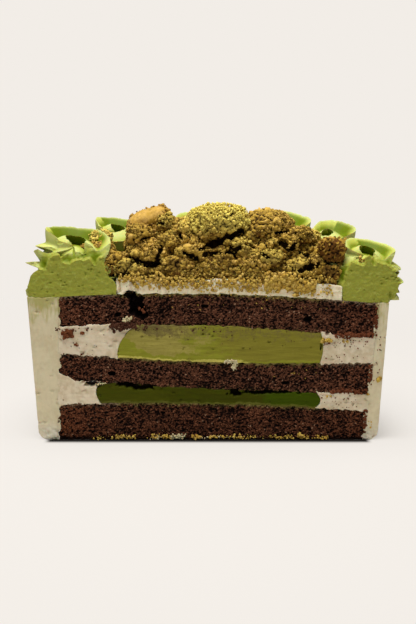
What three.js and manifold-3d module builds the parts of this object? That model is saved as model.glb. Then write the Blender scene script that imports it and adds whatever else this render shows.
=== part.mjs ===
// Half of a round matcha and chocolate layer cake, cut straight across with a knife.
// Three chocolate sponges hold two matcha fillings, each inside a ring of pale cream. A coat of the
// same cream goes round the outside, matcha cream is piped in swirls round the rim, and a heap of
// baked crumble fills the middle. Millimetres, +Z up. The cut face looks along -Y. The model is laid
// out about the centre of the whole cake, then moved so that its bottom centre is the origin.
import * as THREE from "three";
import { mergeVertices } from "three/addons/utils/BufferGeometryUtils.js";
import Module from "manifold-3d";

const wasm = await Module();
wasm.setup();

// Driving sizes
const SPONGE_RADIUS = 76; // a six-inch tin
const STACK_OFFSET = 1.4; // the stack of sponges stands this far right of the coat's centre
const STACK_LEAN = 0.055; // and drifts right by this much for each millimetre of height
const COAT_RADIUS = 83.9; // outside of the coat at its foot
const COAT_FLARE = 0.026; // how much wider the coat gets for each millimetre of height
const COAT_FOOT_ROUND = 4.5; // rounding of the coat's lower edge
const GAP = 0.3; // space kept between neighbouring solids
const SHORTEST_EDGE = 0.2; // shorter edges, which cuts leave behind, are closed up
const THIN = 0.03; // faces lower than this are turned into better ones
const HALF_TURN_STEPS = 20;
const RIM_STEPS = 32; // for the coat and the flat cream under the swirls

// The faces between the layers: mean height, slope along X, and how far the middle bows up
const LEVELS = {
  base: { height: 0, tilt: 0, bow: 0 },
  bottomTop: { height: 17.6, tilt: -0.0225, bow: 1.5 },
  middleBase: { height: 27.8, tilt: -0.05, bow: -1.0 },
  middleTop: { height: 43.3, tilt: -0.035, bow: -2.6 },
  topBase: { height: 55.1, tilt: -0.034, bow: 3.8 },
  topTop: { height: 71.6, tilt: -0.0165, bow: 3.0 },
};

// Fillings: centre along X, radius, how far their edge bulges at mid height, and how far the left
// end is drawn in at its foot and at its top
const UPPER_FILLING = { centre: 5, radius: 49.4, bulge: 1.5, leftFoot: 0.5, leftTop: 9 };
const LOWER_FILLING = { centre: -1.3, radius: 54.5, bulge: 1.4, leftFoot: 9, leftTop: -1 };

// The cream on top of the upper sponge, inside the ring of swirls
const TOP_CREAM = { centre: 10, radiusX: 53.4, radiusY: 43, thickness: 6.4 };

// Piped swirls, in the order that they were piped. Each has the place of its axis, the radius of its
// first turn, the thickness of the string, how far it rises, the share it narrows by on the way, and
// the bearing where it starts.
const SWIRL_TURNS = 2;
const SWIRL_STEPS_PER_TURN = 12;
const SWIRL_POINTS = 12; // steps over the part of the string's section that shows
const SWIRL_START = 0.25; // part of a turn over which the string comes to its full thickness
const SWIRL_TEETH = 3; // teeth of the star nozzle that show on each turn
const SWIRL_VALLEY = 0.5; // radius between two teeth, as a share of the radius at a tooth
const SWIRL_GROOVE = 0.62; // and in the groove where one turn meets the next
const SWIRL_SHARPNESS = 1.2; // the higher, the thinner the teeth
const SWIRL_BED = 4.5; // depth of the flat cream under the coils
const SWIRL_SPREAD = 0.82; // how far the first turn's foot stands out, as a share of its thickness
const SWIRL_LIFT = 0.6; // height of the first turn's middle, as a share of its thickness
const SWIRL_CURL = 0.8; // share of the way up where the string starts to curl in to the axis
const SWIRLS = [
  { x: -64, y: 8, coil: 12.6, tube: 11.4, rise: 17, narrows: 0.12, start: 290 },
  { x: -48, y: 43.5, coil: 11.8, tube: 11.4, rise: 18, narrows: 0.25, start: 275 },
  { x: -11, y: 64, coil: 11.8, tube: 11.4, rise: 18, narrows: 0.25, start: 230 },
  { x: 38, y: 54, coil: 11.8, tube: 11.4, rise: 20, narrows: 0.12, start: 215 },
  { x: 58.5, y: 33.5, coil: 11.8, tube: 11.2, rise: 18.5, narrows: 0.1, start: 200 },
  { x: 74.2, y: 7.5, coil: 10.2, tube: 9.3, rise: 17, narrows: 0.1, start: 240 },
];

// The crumble: a heap about its own centre, with the largest lumps at their places in it
const HEAP = { centreX: 5, reachX: 60, height: 27.5, crestY: 17, backY: 44 };
const LUMPS = [
  // name, place of the centre, half sizes along X, Y and Z, turn about Z, and fineness
  { name: "crumble_lump_biscuit", at: [-29, 19, 104.5], half: [10, 8.5, 9.3], turn: 15, detail: 2 },
  { name: "crumble_lump_matcha", at: [4.5, 16, 106.5], half: [15, 10, 9.2], turn: -8, detail: 2 },
  { name: "crumble_lump_right", at: [30, 19, 104], half: [11, 9, 8], turn: 30, detail: 2 },
  { name: "crumble_lump_edge", at: [58.5, 5.5, 94.6], half: [6.3, 5.4, 5.8], turn: 10, detail: 1 },
  { name: "crumble_lump_foot", at: [58.8, 5.2, 84.6], half: [6.4, 5, 4.9], turn: 60, detail: 1 },
  { name: "crumble_lump_corner", at: [-44.8, 6.6, 87.2], half: [6.3, 5, 6], turn: 20, detail: 1 },
  { name: "crumble_lump_front", at: [-27.5, 9.5, 92.2], half: [8.6, 6.5, 6.4], turn: -20, detail: 1 },
  { name: "crumble_lump_rim", at: [-53, 11, 93.6], half: [8.2, 4.4, 3.7], turn: 12, detail: 1 },
  { name: "crumble_lump_dusted", at: [-52.5, 20.5, 97], half: [5.8, 4.8, 4.4], turn: 40, detail: 1 },
];
const HEAP_LUMPS = 36; // lumps over the rest of the heap
const HEAP_GRAINS = 30; // single crumbs on it

const DEGREE = Math.PI / 180;

// A repeatable stream of numbers from 0 to 1.
function seeded(seed) {
  let state = seed >>> 0;
  return () => {
    state = (state + 0x6d2b79f5) >>> 0;
    let mixed = Math.imul(state ^ (state >>> 15), 1 | state);
    mixed = (mixed + Math.imul(mixed ^ (mixed >>> 7), 61 | mixed)) ^ mixed;
    return ((mixed ^ (mixed >>> 14)) >>> 0) / 4294967296;
  };
}

function smooth(from, to, value) {
  return THREE.MathUtils.smoothstep(value, from, to);
}

// Height of a layer's face over a point of the plan.
function levelAt(level, x, y) {
  const out = Math.min(1, (x * x + y * y) / (SPONGE_RADIUS * SPONGE_RADIUS));
  return level.height + level.tilt * x + level.bow * (1 - out);
}

function stackCentre(z) {
  return STACK_OFFSET + STACK_LEAN * z;
}

// A closed three.js geometry as a solid: shared vertices are merged and flat triangles dropped.
function solidOf(geometry) {
  const bare = new THREE.BufferGeometry();
  bare.setAttribute("position", geometry.getAttribute("position"));
  if (geometry.index) bare.setIndex(geometry.index);
  const merged = mergeVertices(bare, 1e-3);
  const index = merged.index.array;
  const kept = [];
  for (let i = 0; i < index.length; i += 3) {
    const [a, b, c] = [index[i], index[i + 1], index[i + 2]];
    if (a !== b && b !== c && c !== a) kept.push(a, b, c);
  }
  return new wasm.Manifold(
    new wasm.Mesh({
      numProp: 3,
      vertProperties: merged.getAttribute("position").array,
      triVerts: new Uint32Array(kept),
    }),
  );
}

function joined(solids) {
  return solids.reduce((all, one) => all.add(one));
}

// The largest connected body of a solid.
function largest(solid) {
  return solid.decompose().sort((a, b) => b.volume() - a.volume())[0];
}

// The triangles of a closed solid, with ways to mend the slivers that cuts leave behind.
class Skin {
  constructor(points, corners) {
    this.points = points;
    this.faces = Array.from({ length: corners.length / 3 }, (_, i) => corners.slice(3 * i, 3 * i + 3));
    this.around = points.map(() => new Set());
    this.faces.forEach((face, i) => face.forEach((corner) => this.around[corner].add(i)));
  }

  neighbours(corner) {
    const all = [...this.around[corner]].flatMap((f) => this.faces[f]);
    return new Set(all.filter((other) => other !== corner));
  }

  normal(face, swap = new Map()) {
    const triple = face.map((corner) => swap.get(corner) ?? this.points[corner]);
    return new THREE.Triangle(...triple).getNormal(new THREE.Vector3());
  }

  // Height of a face over its longest side, and the two corners of that side with the third one.
  thinnest(face) {
    const sides = [0, 1, 2].map((i) => {
      const [a, b, c] = [face[i], face[(i + 1) % 3], face[(i + 2) % 3]];
      return { a, b, c, length: this.points[a].distanceTo(this.points[b]) };
    });
    const long = sides.sort((one, other) => other.length - one.length)[0];
    const area = new THREE.Triangle(...face.map((corner) => this.points[corner])).getArea();
    return { ...long, height: (2 * area) / long.length };
  }

  // Would moving these two corners to one point fold a face over?
  folds(kept, gone, middle) {
    const swap = new Map([[kept, middle], [gone, middle]]);
    const beside = [...this.around[kept], ...this.around[gone]].map((f) => this.faces[f]);
    return beside
      .filter((face) => !(face.includes(kept) && face.includes(gone)) && this.thinnest(face).height > THIN)
      .some((face) => this.normal(face).dot(this.normal(face, swap)) < 0.5);
  }

  // One short edge becomes one point at its middle, unless that would pinch the skin.
  close(kept, gone) {
    const others = this.neighbours(gone);
    const shared = [...this.neighbours(kept)].filter((corner) => others.has(corner));
    const middle = this.points[kept].clone().lerp(this.points[gone], 0.5);
    const tiny = this.points[kept].distanceTo(this.points[gone]) < THIN;
    if (shared.length !== 2 || (!tiny && this.folds(kept, gone, middle))) return false;
    this.points[kept] = middle;
    for (const f of this.around[gone]) {
      const face = this.faces[f];
      if (face.includes(kept)) {
        face.filter((corner) => corner !== gone).forEach((corner) => this.around[corner].delete(f));
        this.faces[f] = null;
      } else {
        this.faces[f] = face.map((corner) => (corner === gone ? kept : corner));
        this.around[kept].add(f);
      }
    }
    this.around[gone].clear();
    return true;
  }

  // A thin face and the one across its longest side swap that side for the other diagonal.
  turn(f) {
    const { a, b, c } = this.thinnest(this.faces[f]);
    const g = [...this.around[a]].find((other) => other !== f && this.faces[other].includes(b));
    const d = this.faces[g].find((corner) => corner !== a && corner !== b);
    if (c === d || this.neighbours(c).has(d)) return false;
    const turned = [[c, a, d], [d, b, c]];
    const worst = Math.min(...turned.map((face) => this.thinnest(face).height));
    if (worst <= this.thinnest(this.faces[f]).height) return false;
    [this.faces[f], this.faces[g]] = turned;
    this.around[b].delete(f);
    this.around[a].delete(g);
    this.around[d].add(f);
    this.around[c].add(g);
    return true;
  }

  mend(shortest) {
    for (let round = 0; round < 8; round += 1) {
      let changed = 0;
      for (let f = 0; f < this.faces.length; f += 1) {
        for (let side = 0; this.faces[f] && side < 3; side += 1) {
          const [kept, gone] = [this.faces[f][side], this.faces[f][(side + 1) % 3]];
          const short = this.points[kept].distanceTo(this.points[gone]) < shortest;
          if (short && this.close(kept, gone)) changed += 1;
        }
        if (this.faces[f] && this.thinnest(this.faces[f]).height < THIN && this.turn(f)) changed += 1;
      }
      if (!changed) break;
    }
  }
}

// A solid as a three.js geometry, with its edges shorter than shortest closed up.
function geometryOf(solid, shortest) {
  const mesh = solid.getMesh();
  const points = Array.from({ length: mesh.numVert }, (_, i) =>
    new THREE.Vector3().fromArray(mesh.vertProperties, i * mesh.numProp),
  );
  const skin = new Skin(points, Array.from(mesh.triVerts));
  skin.mend(shortest);
  const geometry = new THREE.BufferGeometry();
  const flat = skin.points.flatMap((p) => p.toArray());
  geometry.setAttribute("position", new THREE.Float32BufferAttribute(flat, 3));
  geometry.setIndex(skin.faces.filter((face) => face).flat());
  geometry.computeVertexNormals();
  return geometry;
}

// A closed skin through a row of loops, each an array of Vector3 with the same count. Each end is
// closed by a fan of triangles about the middle of its loop.
function loft(loops) {
  const count = loops[0].length;
  const ends = [loops[0], loops.at(-1)];
  const hubs = ends.map((loop) => {
    const sum = loop.reduce((all, p) => all.add(p), new THREE.Vector3());
    return sum.divideScalar(count);
  });
  const positions = [...loops.flat(), ...hubs].flatMap((p) => [p.x, p.y, p.z]);
  const firstHub = loops.length * count;
  const lastRow = (loops.length - 1) * count;
  const index = [];
  for (let j = 0; j < count; j += 1) {
    const next = (j + 1) % count;
    for (let i = 0; i + 1 < loops.length; i += 1) {
      const [a, b] = [i * count + j, i * count + next];
      index.push(a, b, b + count, a, b + count, a + count);
    }
    index.push(firstHub, next, j, firstHub + 1, lastRow + j, lastRow + next);
  }
  const geometry = new THREE.BufferGeometry();
  geometry.setAttribute("position", new THREE.Float32BufferAttribute(positions, 3));
  geometry.setIndex(index);
  const solid = solidOf(geometry);
  if (solid.volume() > 0) return solid;
  geometry.setIndex(index.toReversed());
  return solidOf(geometry);
}

// Half a turn of a profile about an upright axis. loopAt(angle) gives the loop as Vector3s.
function halfTurn(loopAt, steps = HALF_TURN_STEPS) {
  return loft(Array.from({ length: steps + 1 }, (_, i) => loopAt((Math.PI * i) / steps)));
}

// A filled half disc between two faces. radiusAt(angle, share) is its edge at a share of its height,
// rings are the shares of the radius, and edge the shares of the height, that have a row of points.
function halfDisc(lower, upper, centreAt, radiusAt, { rings = [0, 0.45, 0.8, 1], edge = [] } = {}) {
  return halfTurn((angle) => {
    const point = (share, ring) => {
      const guess = THREE.MathUtils.lerp(lower(0, 0), upper(0, 0), share);
      const radius = ring * radiusAt(angle, share);
      const x = centreAt(guess) + radius * Math.cos(angle);
      const y = Math.max(0, radius * Math.sin(angle));
      return new THREE.Vector3(x, y, THREE.MathUtils.lerp(lower(x, y), upper(x, y), share));
    };
    return [
      ...rings.map((ring) => point(0, ring)),
      ...edge.map((share) => point(share, 1)),
      ...rings.toReversed().map((ring) => point(1, ring)),
    ];
  });
}

// A blob with a rough outside: a split icosahedron, each vertex pushed in or out by chance.
function blob({ at, half, turn = 0, detail = 2, rough = 0.13, seed = 1, grow = 0 }) {
  const geometry = mergeVertices(barePositions(new THREE.IcosahedronGeometry(1, detail)), 1e-4);
  const position = geometry.getAttribute("position");
  const random = seeded(seed);
  const phase = [random() * 6, random() * 6, random() * 6];
  for (let i = 0; i < position.count; i += 1) {
    const p = new THREE.Vector3().fromBufferAttribute(position, i);
    const waves = [3.1 * p.x, 2.7 * p.y, 3.3 * p.z].map((turned, axis) => Math.sin(turned + phase[axis]));
    const swell = waves[0] * waves[1] * waves[2];
    p.multiplyScalar(1 + rough * (1.1 * swell + (random() - 0.5)));
    p.multiply(new THREE.Vector3(...half).addScalar(grow));
    p.applyAxisAngle(new THREE.Vector3(0, 0, 1), turn * DEGREE).add(new THREE.Vector3(...at));
    position.setXYZ(i, p.x, p.y, p.z);
  }
  return solidOf(geometry);
}

function barePositions(geometry) {
  geometry.deleteAttribute("normal");
  geometry.deleteAttribute("uv");
  return geometry;
}

function boxSolid(low, high) {
  const size = high.map((h, i) => h - low[i]);
  const geometry = barePositions(new THREE.BoxGeometry(...size));
  geometry.translate(...low.map((l, i) => l + size[i] / 2));
  return solidOf(geometry);
}

// Chocolate sponge
function spongeLayer(lowerLevel, upperLevel, phase) {
  const edge = (angle) => SPONGE_RADIUS + 0.35 * Math.sin(5 * angle + phase) - 0.35;
  return halfDisc(
    (x, y) => levelAt(LEVELS[lowerLevel], x, y),
    (x, y) => levelAt(LEVELS[upperLevel], x, y),
    stackCentre,
    edge,
  );
}

// The torn hole in the upper sponge, open to the cut face and to the cream above it.
function tornHole() {
  const main = blob({ at: [-33, 0.5, 69.5], half: [3.6, 5.5, 6.6], detail: 1, rough: 0.2, seed: 11 });
  const mouth = blob({ at: [-35.5, 0, 75], half: [2.6, 4, 4], detail: 1, rough: 0.2, seed: 12 });
  return main.add(mouth);
}

// Thin slits where the middle sponge doesn't touch the filling under it.
function slitsUnderMiddle() {
  const places = [
    { x: 25, half: 15.5, depth: 1.9 },
    { x: -34.5, half: 4.5, depth: 1.5 },
    { x: -55, half: 2.8, depth: 1.7 },
  ];
  return joined(
    places.map(({ x, half, depth }, i) => {
      const z = levelAt(LEVELS.middleBase, x, 0);
      return blob({ at: [x, 0, z], half: [half, 4.5, depth], detail: 1, seed: 21 + i });
    }),
  );
}

// Matcha fillings and the rings of pale cream that hold them in
function fillingRadius(filling) {
  return (angle, share) => {
    const bulge = filling.bulge * (1 - (2 * share - 1) ** 2);
    const left = ((1 - Math.cos(angle)) / 2) ** 3;
    const drawnIn = left * THREE.MathUtils.lerp(filling.leftFoot, filling.leftTop, share ** 1.5);
    return filling.radius + bulge - drawnIn + 0.5 * Math.sin(4 * angle + filling.centre);
  };
}

function filling(spec, lowerLevel, upperLevel) {
  return halfDisc(
    (x, y) => levelAt(LEVELS[lowerLevel], x, y) + GAP,
    (x, y) => levelAt(LEVELS[upperLevel], x, y) - GAP,
    () => spec.centre,
    fillingRadius(spec),
    { edge: [0.5] },
  );
}

function creamRing(spec, lowerLevel, upperLevel) {
  const inner = fillingRadius(spec);
  const lower = LEVELS[lowerLevel];
  const upper = LEVELS[upperLevel];
  return halfTurn((angle) => {
    const point = (share, side) => {
      const height = THREE.MathUtils.lerp(lower.height, upper.height, share);
      const insideX = spec.centre + (inner(angle, share) + 2 * GAP) * Math.cos(angle);
      const outsideX = stackCentre(height) + (SPONGE_RADIUS - GAP) * Math.cos(angle);
      const insideY = (inner(angle, share) + 2 * GAP) * Math.sin(angle);
      const outsideY = (SPONGE_RADIUS - GAP) * Math.sin(angle);
      const x = THREE.MathUtils.lerp(insideX, outsideX, side);
      const y = Math.max(0, THREE.MathUtils.lerp(insideY, outsideY, side));
      const low = levelAt(lower, x, y) + GAP;
      return new THREE.Vector3(x, y, THREE.MathUtils.lerp(low, levelAt(upper, x, y) - GAP, share));
    };
    const foot = [0, 0.5, 1].map((side) => point(0, side));
    const head = [1, 0.5, 0].map((side) => point(1, side));
    return [...foot, ...head, point(0.5, 0)];
  });
}

// Pale cream round the outside
function coatRadius(z, angle) {
  const wave = 0.35 * Math.sin(3 * angle + 0.4) + 0.2 * Math.sin(7 * angle);
  return COAT_RADIUS + COAT_FLARE * z + wave;
}

function creamCoat() {
  const FOOT = [
    [1, 0],
    [0.4, 0.12],
    [0.1, 0.45],
    [0, 1],
  ];
  return halfTurn((angle) => {
    const top = (x, y) => levelAt(LEVELS.topTop, x, y);
    const inside = (z) => {
      const radius = SPONGE_RADIUS + GAP;
      return [stackCentre(z) + radius * Math.cos(angle), Math.max(0, radius * Math.sin(angle))];
    };
    const outside = (z, inset) => {
      const radius = coatRadius(z, angle) - inset;
      return [radius * Math.cos(angle), Math.max(0, radius * Math.sin(angle))];
    };
    const [topOutX, topOutY] = outside(LEVELS.topTop.height, 0);
    const [topInX, topInY] = inside(LEVELS.topTop.height);
    const foot = FOOT.map(([inset, height]) => {
      const [x, y] = outside(height * COAT_FOOT_ROUND, inset * COAT_FOOT_ROUND);
      return new THREE.Vector3(x, y, height * COAT_FOOT_ROUND);
    });
    const half = LEVELS.topTop.height / 2;
    return [
      ...foot,
      new THREE.Vector3(...outside(half, 0), half),
      new THREE.Vector3(topOutX, topOutY, top(topOutX, topOutY)),
      new THREE.Vector3(topInX, topInY, top(topInX, topInY)),
      new THREE.Vector3(...inside(0), 0),
    ];
  }, RIM_STEPS);
}

function topCream(grow = 0) {
  const edge = (angle) => {
    const across = (TOP_CREAM.radiusX + grow) * Math.cos(angle);
    const back = (TOP_CREAM.radiusY + grow) * Math.sin(angle);
    return Math.hypot(across, back);
  };
  return halfDisc(
    (x, y) => levelAt(LEVELS.topTop, x, y) + GAP - grow,
    (x, y) => topCreamHeight(x, y) + grow,
    () => TOP_CREAM.centre,
    edge,
  );
}

function topCreamHeight(x, y) {
  return levelAt(LEVELS.topTop, x, y) + TOP_CREAM.thickness + 1.1 * Math.sin(0.13 * x + 0.6);
}

// Piped matcha swirls. A string of cream with a star-shaped section winds in and up round an upright
// axis, starting from nothing at the foot and curling into a small hollow at the top. In the plane
// through the axis, out is the distance from the axis and up the height above the swirl's foot.
const SWIRL_STEPS = SWIRL_STEPS_PER_TURN * SWIRL_TURNS;

// The middle of the string after some turns, and how thick the string is there. It comes in from a
// little way outside as it starts, and winds in to the axis as it ends.
function swirlString(swirl, turns) {
  const share = THREE.MathUtils.clamp(turns / SWIRL_TURNS, 0, 1);
  const started = smooth(0, SWIRL_START, turns);
  const curledIn = smooth(SWIRL_CURL, 1, share);
  return {
    out: swirl.coil * (1 - swirl.narrows * share) * (1 - curledIn) + 0.3 * swirl.coil * (1 - started),
    up: SWIRL_LIFT * swirl.tube * started + swirl.rise * share ** 1.15 - 2 * curledIn,
    thick: swirl.tube * started * (1 - swirl.narrows * share ** 1.3) * (1 - 0.96 * curledIn),
  };
}

// Where one turn of the string disappears behind the next: the outer crossing of their two circles.
// The first turn starts on the foot, and the last one ends at the bottom of the hollow.
function swirlGroove(swirl, turns) {
  if (turns <= 1) {
    const { out, thick } = swirlString(swirl, turns % 1);
    return { out: out + SWIRL_SPREAD * thick, up: 0 };
  }
  if (turns >= SWIRL_TURNS) {
    return { out: 0, up: swirlString(swirl, SWIRL_CURL * SWIRL_TURNS).up + 1.5 };
  }
  const lower = swirlString(swirl, turns - 1);
  const upper = swirlString(swirl, turns);
  const [radiusLow, radiusUp] = [lower.thick, upper.thick].map((thick) => SWIRL_GROOVE * thick);
  const apart = Math.hypot(upper.out - lower.out, upper.up - lower.up);
  const [alongOut, alongUp] = [(upper.out - lower.out) / apart, (upper.up - lower.up) / apart];
  const crossing = (radiusLow ** 2 - radiusUp ** 2 + apart ** 2) / (2 * apart);
  const along = THREE.MathUtils.clamp(crossing, 0, radiusLow);
  const aside = Math.sqrt(radiusLow ** 2 - along ** 2);
  return {
    out: lower.out + along * alongOut + aside * alongUp,
    up: lower.up + along * alongUp - aside * alongOut,
  };
}

// Distance of the string's skin from its middle, as a share of its thickness, at a share of the way
// from the groove below to the groove above: sharp teeth with round valleys between them.
function swirlStar(share) {
  const tooth = (1 - Math.abs(Math.cos(Math.PI * SWIRL_TEETH * share))) ** SWIRL_SHARPNESS;
  const inward = 0.16 * (2 * share - 1) ** 2;
  return (1 - inward) * (SWIRL_VALLEY + (1 - SWIRL_VALLEY) * tooth);
}

// The part of the section that shows, from the groove below it to the groove above it.
function swirlSection(swirl, turns, grow) {
  const { out, up, thick } = swirlString(swirl, turns);
  const [below, above] = [turns, turns + 1].map((at) => {
    const groove = swirlGroove(swirl, at);
    return { out: groove.out && groove.out + grow, up: groove.up && groove.up + grow / 2 };
  });
  const bearing = (groove) => Math.atan2(groove.up - up, groove.out - out);
  const middle = Array.from({ length: SWIRL_POINTS - 1 }, (_, j) => {
    const share = (j + 1) / SWIRL_POINTS;
    const angle = THREE.MathUtils.lerp(bearing(below), bearing(above), share);
    const reach = thick * swirlStar(share) + grow;
    return { out: out + reach * Math.cos(angle), up: up + reach * Math.sin(angle) };
  });
  return [below, ...middle, above];
}

// The coils stand on the stack, a little way up in the flat cream.
function swirlFoot(x, y) {
  return levelAt(LEVELS.topTop, x, y) + 3 * GAP;
}

// The coil as one skin: the upper edge of each turn is the lower edge of the next.
function swirlCoil(swirl, grow = 0) {
  const base = swirlFoot(swirl.x, swirl.y);
  const rows = Array.from({ length: SWIRL_STEPS + 1 }, (_, step) => {
    const turns = step / SWIRL_STEPS_PER_TURN;
    const angle = swirl.start * DEGREE + turns * 2 * Math.PI;
    const section = swirlSection(swirl, turns, grow);
    const shut = step === 0 ? section[0] : section.at(-1);
    return section.map((point) => {
      const { out, up } = step % SWIRL_STEPS === 0 ? shut : point;
      const reach = out === 0 ? 0 : Math.max(1, out);
      const [x, y] = [swirl.x + reach * Math.cos(angle), swirl.y + reach * Math.sin(angle)];
      return [x, y, up === 0 ? swirlFoot(x, y) : base + Math.max(0.4, up)];
    });
  });
  const count = SWIRL_POINTS + 1;
  const index = [];
  for (let i = 0; i < SWIRL_STEPS; i += 1) {
    for (let j = 0; j < SWIRL_POINTS; j += 1) {
      const a = i * count + j;
      index.push(a, a + count, a + count + 1, a, a + count + 1, a + 1);
    }
  }
  const hub = rows.length * count;
  for (let i = 0; i < SWIRL_STEPS_PER_TURN; i += 1) index.push(hub, (i + 1) * count, i * count);
  const geometry = new THREE.BufferGeometry();
  const positions = [...rows.flat(2), swirl.x, swirl.y, base];
  geometry.setAttribute("position", new THREE.Float32BufferAttribute(positions, 3));
  geometry.setIndex(index);
  return solidOf(geometry);
}

// A plain round solid about a swirl's axis, for what has to keep clear of the whole swirl.
function swirlRoom(swirl) {
  const base = swirlFoot(swirl.x, swirl.y);
  const low = base - 8;
  const profile = [new THREE.Vector2(0, low), new THREE.Vector2(swirl.coil + swirl.tube + 1, low)];
  for (let turns = 0.5; turns < SWIRL_TURNS; turns += 0.35) {
    const { out, up, thick } = swirlString(swirl, turns);
    profile.push(new THREE.Vector2((out + thick) * 1.06 + GAP, base + up + 0.7 * thick));
  }
  profile.push(new THREE.Vector2(0, base + (SWIRL_LIFT + 1) * swirl.tube + swirl.rise));
  const geometry = barePositions(new THREE.LatheGeometry(profile, 14));
  geometry.rotateX(90 * DEGREE).translate(swirl.x, swirl.y, 0);
  return solidOf(geometry);
}

// The flat cream that the coils were piped onto: a band over the rim of the stack and the coat.
function swirlBed() {
  return halfTurn((angle) => {
    const lowAt = (x, y) => levelAt(LEVELS.topTop, x, y) + GAP;
    const across = (TOP_CREAM.radiusX + GAP) * Math.cos(angle);
    const back = (TOP_CREAM.radiusY + GAP) * Math.sin(angle);
    const inner = [TOP_CREAM.centre + across, Math.max(0, back)];
    const radius = coatRadius(LEVELS.topTop.height, angle) + 0.6;
    const outer = [radius * Math.cos(angle), Math.max(0, radius * Math.sin(angle))];
    const middle = [(inner[0] + outer[0]) / 2, (inner[1] + outer[1]) / 2];
    const at = ([x, y], lift) => new THREE.Vector3(x, y, lowAt(x, y) + lift);
    return [
      at(inner, 0),
      at(middle, 0),
      at(outer, 0),
      at(outer.map((v) => v * 1.004), SWIRL_BED * 0.6),
      at(outer.map((v) => v * 0.985), SWIRL_BED),
      at(middle, SWIRL_BED + 1.5),
      at(inner, SWIRL_BED),
    ];
  }, RIM_STEPS);
}

// The wedge of the rim that one swirl fills, from halfway to the swirl before to halfway to the next.
function swirlWedge(index) {
  const FAR = 140;
  const bearing = (swirl) => Math.atan2(swirl.y, swirl.x);
  const own = bearing(SWIRLS[index]);
  const before = index > 0 ? (own + bearing(SWIRLS[index - 1])) / 2 : Math.PI + 0.2;
  const after = index < SWIRLS.length - 1 ? (own + bearing(SWIRLS[index + 1])) / 2 : -0.2;
  const side = (angle, inwards) => {
    const shift = (GAP / 2) * inwards;
    return new THREE.Vector2(-Math.sin(angle) * shift, Math.cos(angle) * shift);
  };
  const corner = (angle, inwards, reach) =>
    new THREE.Vector2(Math.cos(angle) * reach, Math.sin(angle) * reach).add(side(angle, inwards));
  const shape = new THREE.Shape([
    corner(after, 1, 5),
    corner(after, 1, FAR),
    corner(own, 0, FAR * 1.2),
    corner(before, -1, FAR),
    corner(before, -1, 5),
  ]);
  const geometry = barePositions(new THREE.ExtrudeGeometry(shape, { depth: 100, bevelEnabled: false }));
  geometry.translate(0, 0, 60);
  return solidOf(geometry);
}

// Crumble heap
function heapHeight(x, y) {
  const along = Math.min(1, Math.abs(x - HEAP.centreX) / HEAP.reachX);
  const crest = HEAP.height * (1 - along ** 4.5) * (1 + 0.06 * Math.sin(0.21 * x + 1));
  const front = 0.1 + 0.9 * smooth(-3, HEAP.crestY, y);
  const back = 1 - 0.55 * smooth(HEAP.crestY + 5, HEAP.backY, y);
  return Math.max(1.5, crest * front * back);
}

function heapCore() {
  const lower = (x, y) => topCreamHeight(x, y) + GAP;
  const edge = (angle) => {
    const across = (TOP_CREAM.radiusX - 2.5) * Math.cos(angle);
    const back = (TOP_CREAM.radiusY - 1) * Math.sin(angle);
    return Math.hypot(across, back);
  };
  const upper = (x, y) => lower(x, y) + heapHeight(x, y);
  return halfDisc(lower, upper, () => TOP_CREAM.centre, edge, { rings: [0, 0.2, 0.4, 0.6, 0.8, 1] });
}

// Lumps and crumbs half sunk in the heap's surface, spread evenly over its plan by the golden ratio.
function heapPieces() {
  const random = seeded(71);
  const GOLDEN = 0.618034;
  const onHeap = (i, count, smallest, spread, detail) => {
    const y = 2.5 + 38 * ((i + 0.5) / count) ** 1.4;
    const reach = (TOP_CREAM.radiusX - 6) * Math.sqrt(1 - (y / (TOP_CREAM.radiusY + 1)) ** 2);
    const x = TOP_CREAM.centre + reach * (2 * ((i * GOLDEN) % 1) - 1);
    const size = smallest + spread * random();
    const z = topCreamHeight(x, y) + GAP + heapHeight(x, y) + size * (0.3 * random() - 0.1);
    const half = [0.9 + 0.5 * random(), 0.8 + 0.4 * random(), 0.75 + 0.3 * random()].map((v) => v * size);
    const turn = 360 * random();
    return blob({ at: [x, y, z], half, turn, detail, rough: 0.2, seed: 100 * detail + i });
  };
  return [
    ...Array.from({ length: HEAP_LUMPS }, (_, i) => onHeap(i, HEAP_LUMPS, 3.6, 2.4, 1)),
    ...Array.from({ length: HEAP_GRAINS }, (_, i) => onHeap(i, HEAP_GRAINS, 1.7, 0.8, 0)),
  ];
}

const creamPale = { color: 0xded4bb, roughness: 0.62, metalness: 0 };
const MATERIALS = {
  sponge: { color: 0x3b2118, roughness: 0.9, metalness: 0 },
  cream: creamPale,
  coat: { ...creamPale, color: 0xd9cfae },
  fillingLight: { color: 0x8f8a3c, roughness: 0.55, metalness: 0 },
  fillingDark: { color: 0x39400c, roughness: 0.4, metalness: 0 },
  matcha: { color: 0xa9b55a, roughness: 0.5, metalness: 0 },
  crumble: { color: 0xa87e38, roughness: 0.85, metalness: 0 },
};

const cake = new THREE.Group();

function place(name, solid, material, shortest = SHORTEST_EDGE) {
  const look = new THREE.MeshStandardMaterial(MATERIALS[material]);
  const mesh = new THREE.Mesh(geometryOf(largest(solid), shortest), look);
  mesh.name = name;
  cake.add(mesh);
}

const slits = slitsUnderMiddle();
place("sponge_bottom", spongeLayer("base", "bottomTop", 0), "sponge");
place("sponge_middle", spongeLayer("middleBase", "middleTop", 2).subtract(slits), "sponge");
place("sponge_top", spongeLayer("topBase", "topTop", 4).subtract(tornHole()), "sponge");
place("filling_lower", filling(LOWER_FILLING, "bottomTop", "middleBase").subtract(slits), "fillingDark");
place("filling_upper", filling(UPPER_FILLING, "middleTop", "topBase"), "fillingLight");
place("cream_ring_lower", creamRing(LOWER_FILLING, "bottomTop", "middleBase").subtract(slits), "cream");
place("cream_ring_upper", creamRing(UPPER_FILLING, "middleTop", "topBase"), "cream");
place("cream_coat", creamCoat(), "coat");
place("cream_top", topCream(), "cream");

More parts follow.
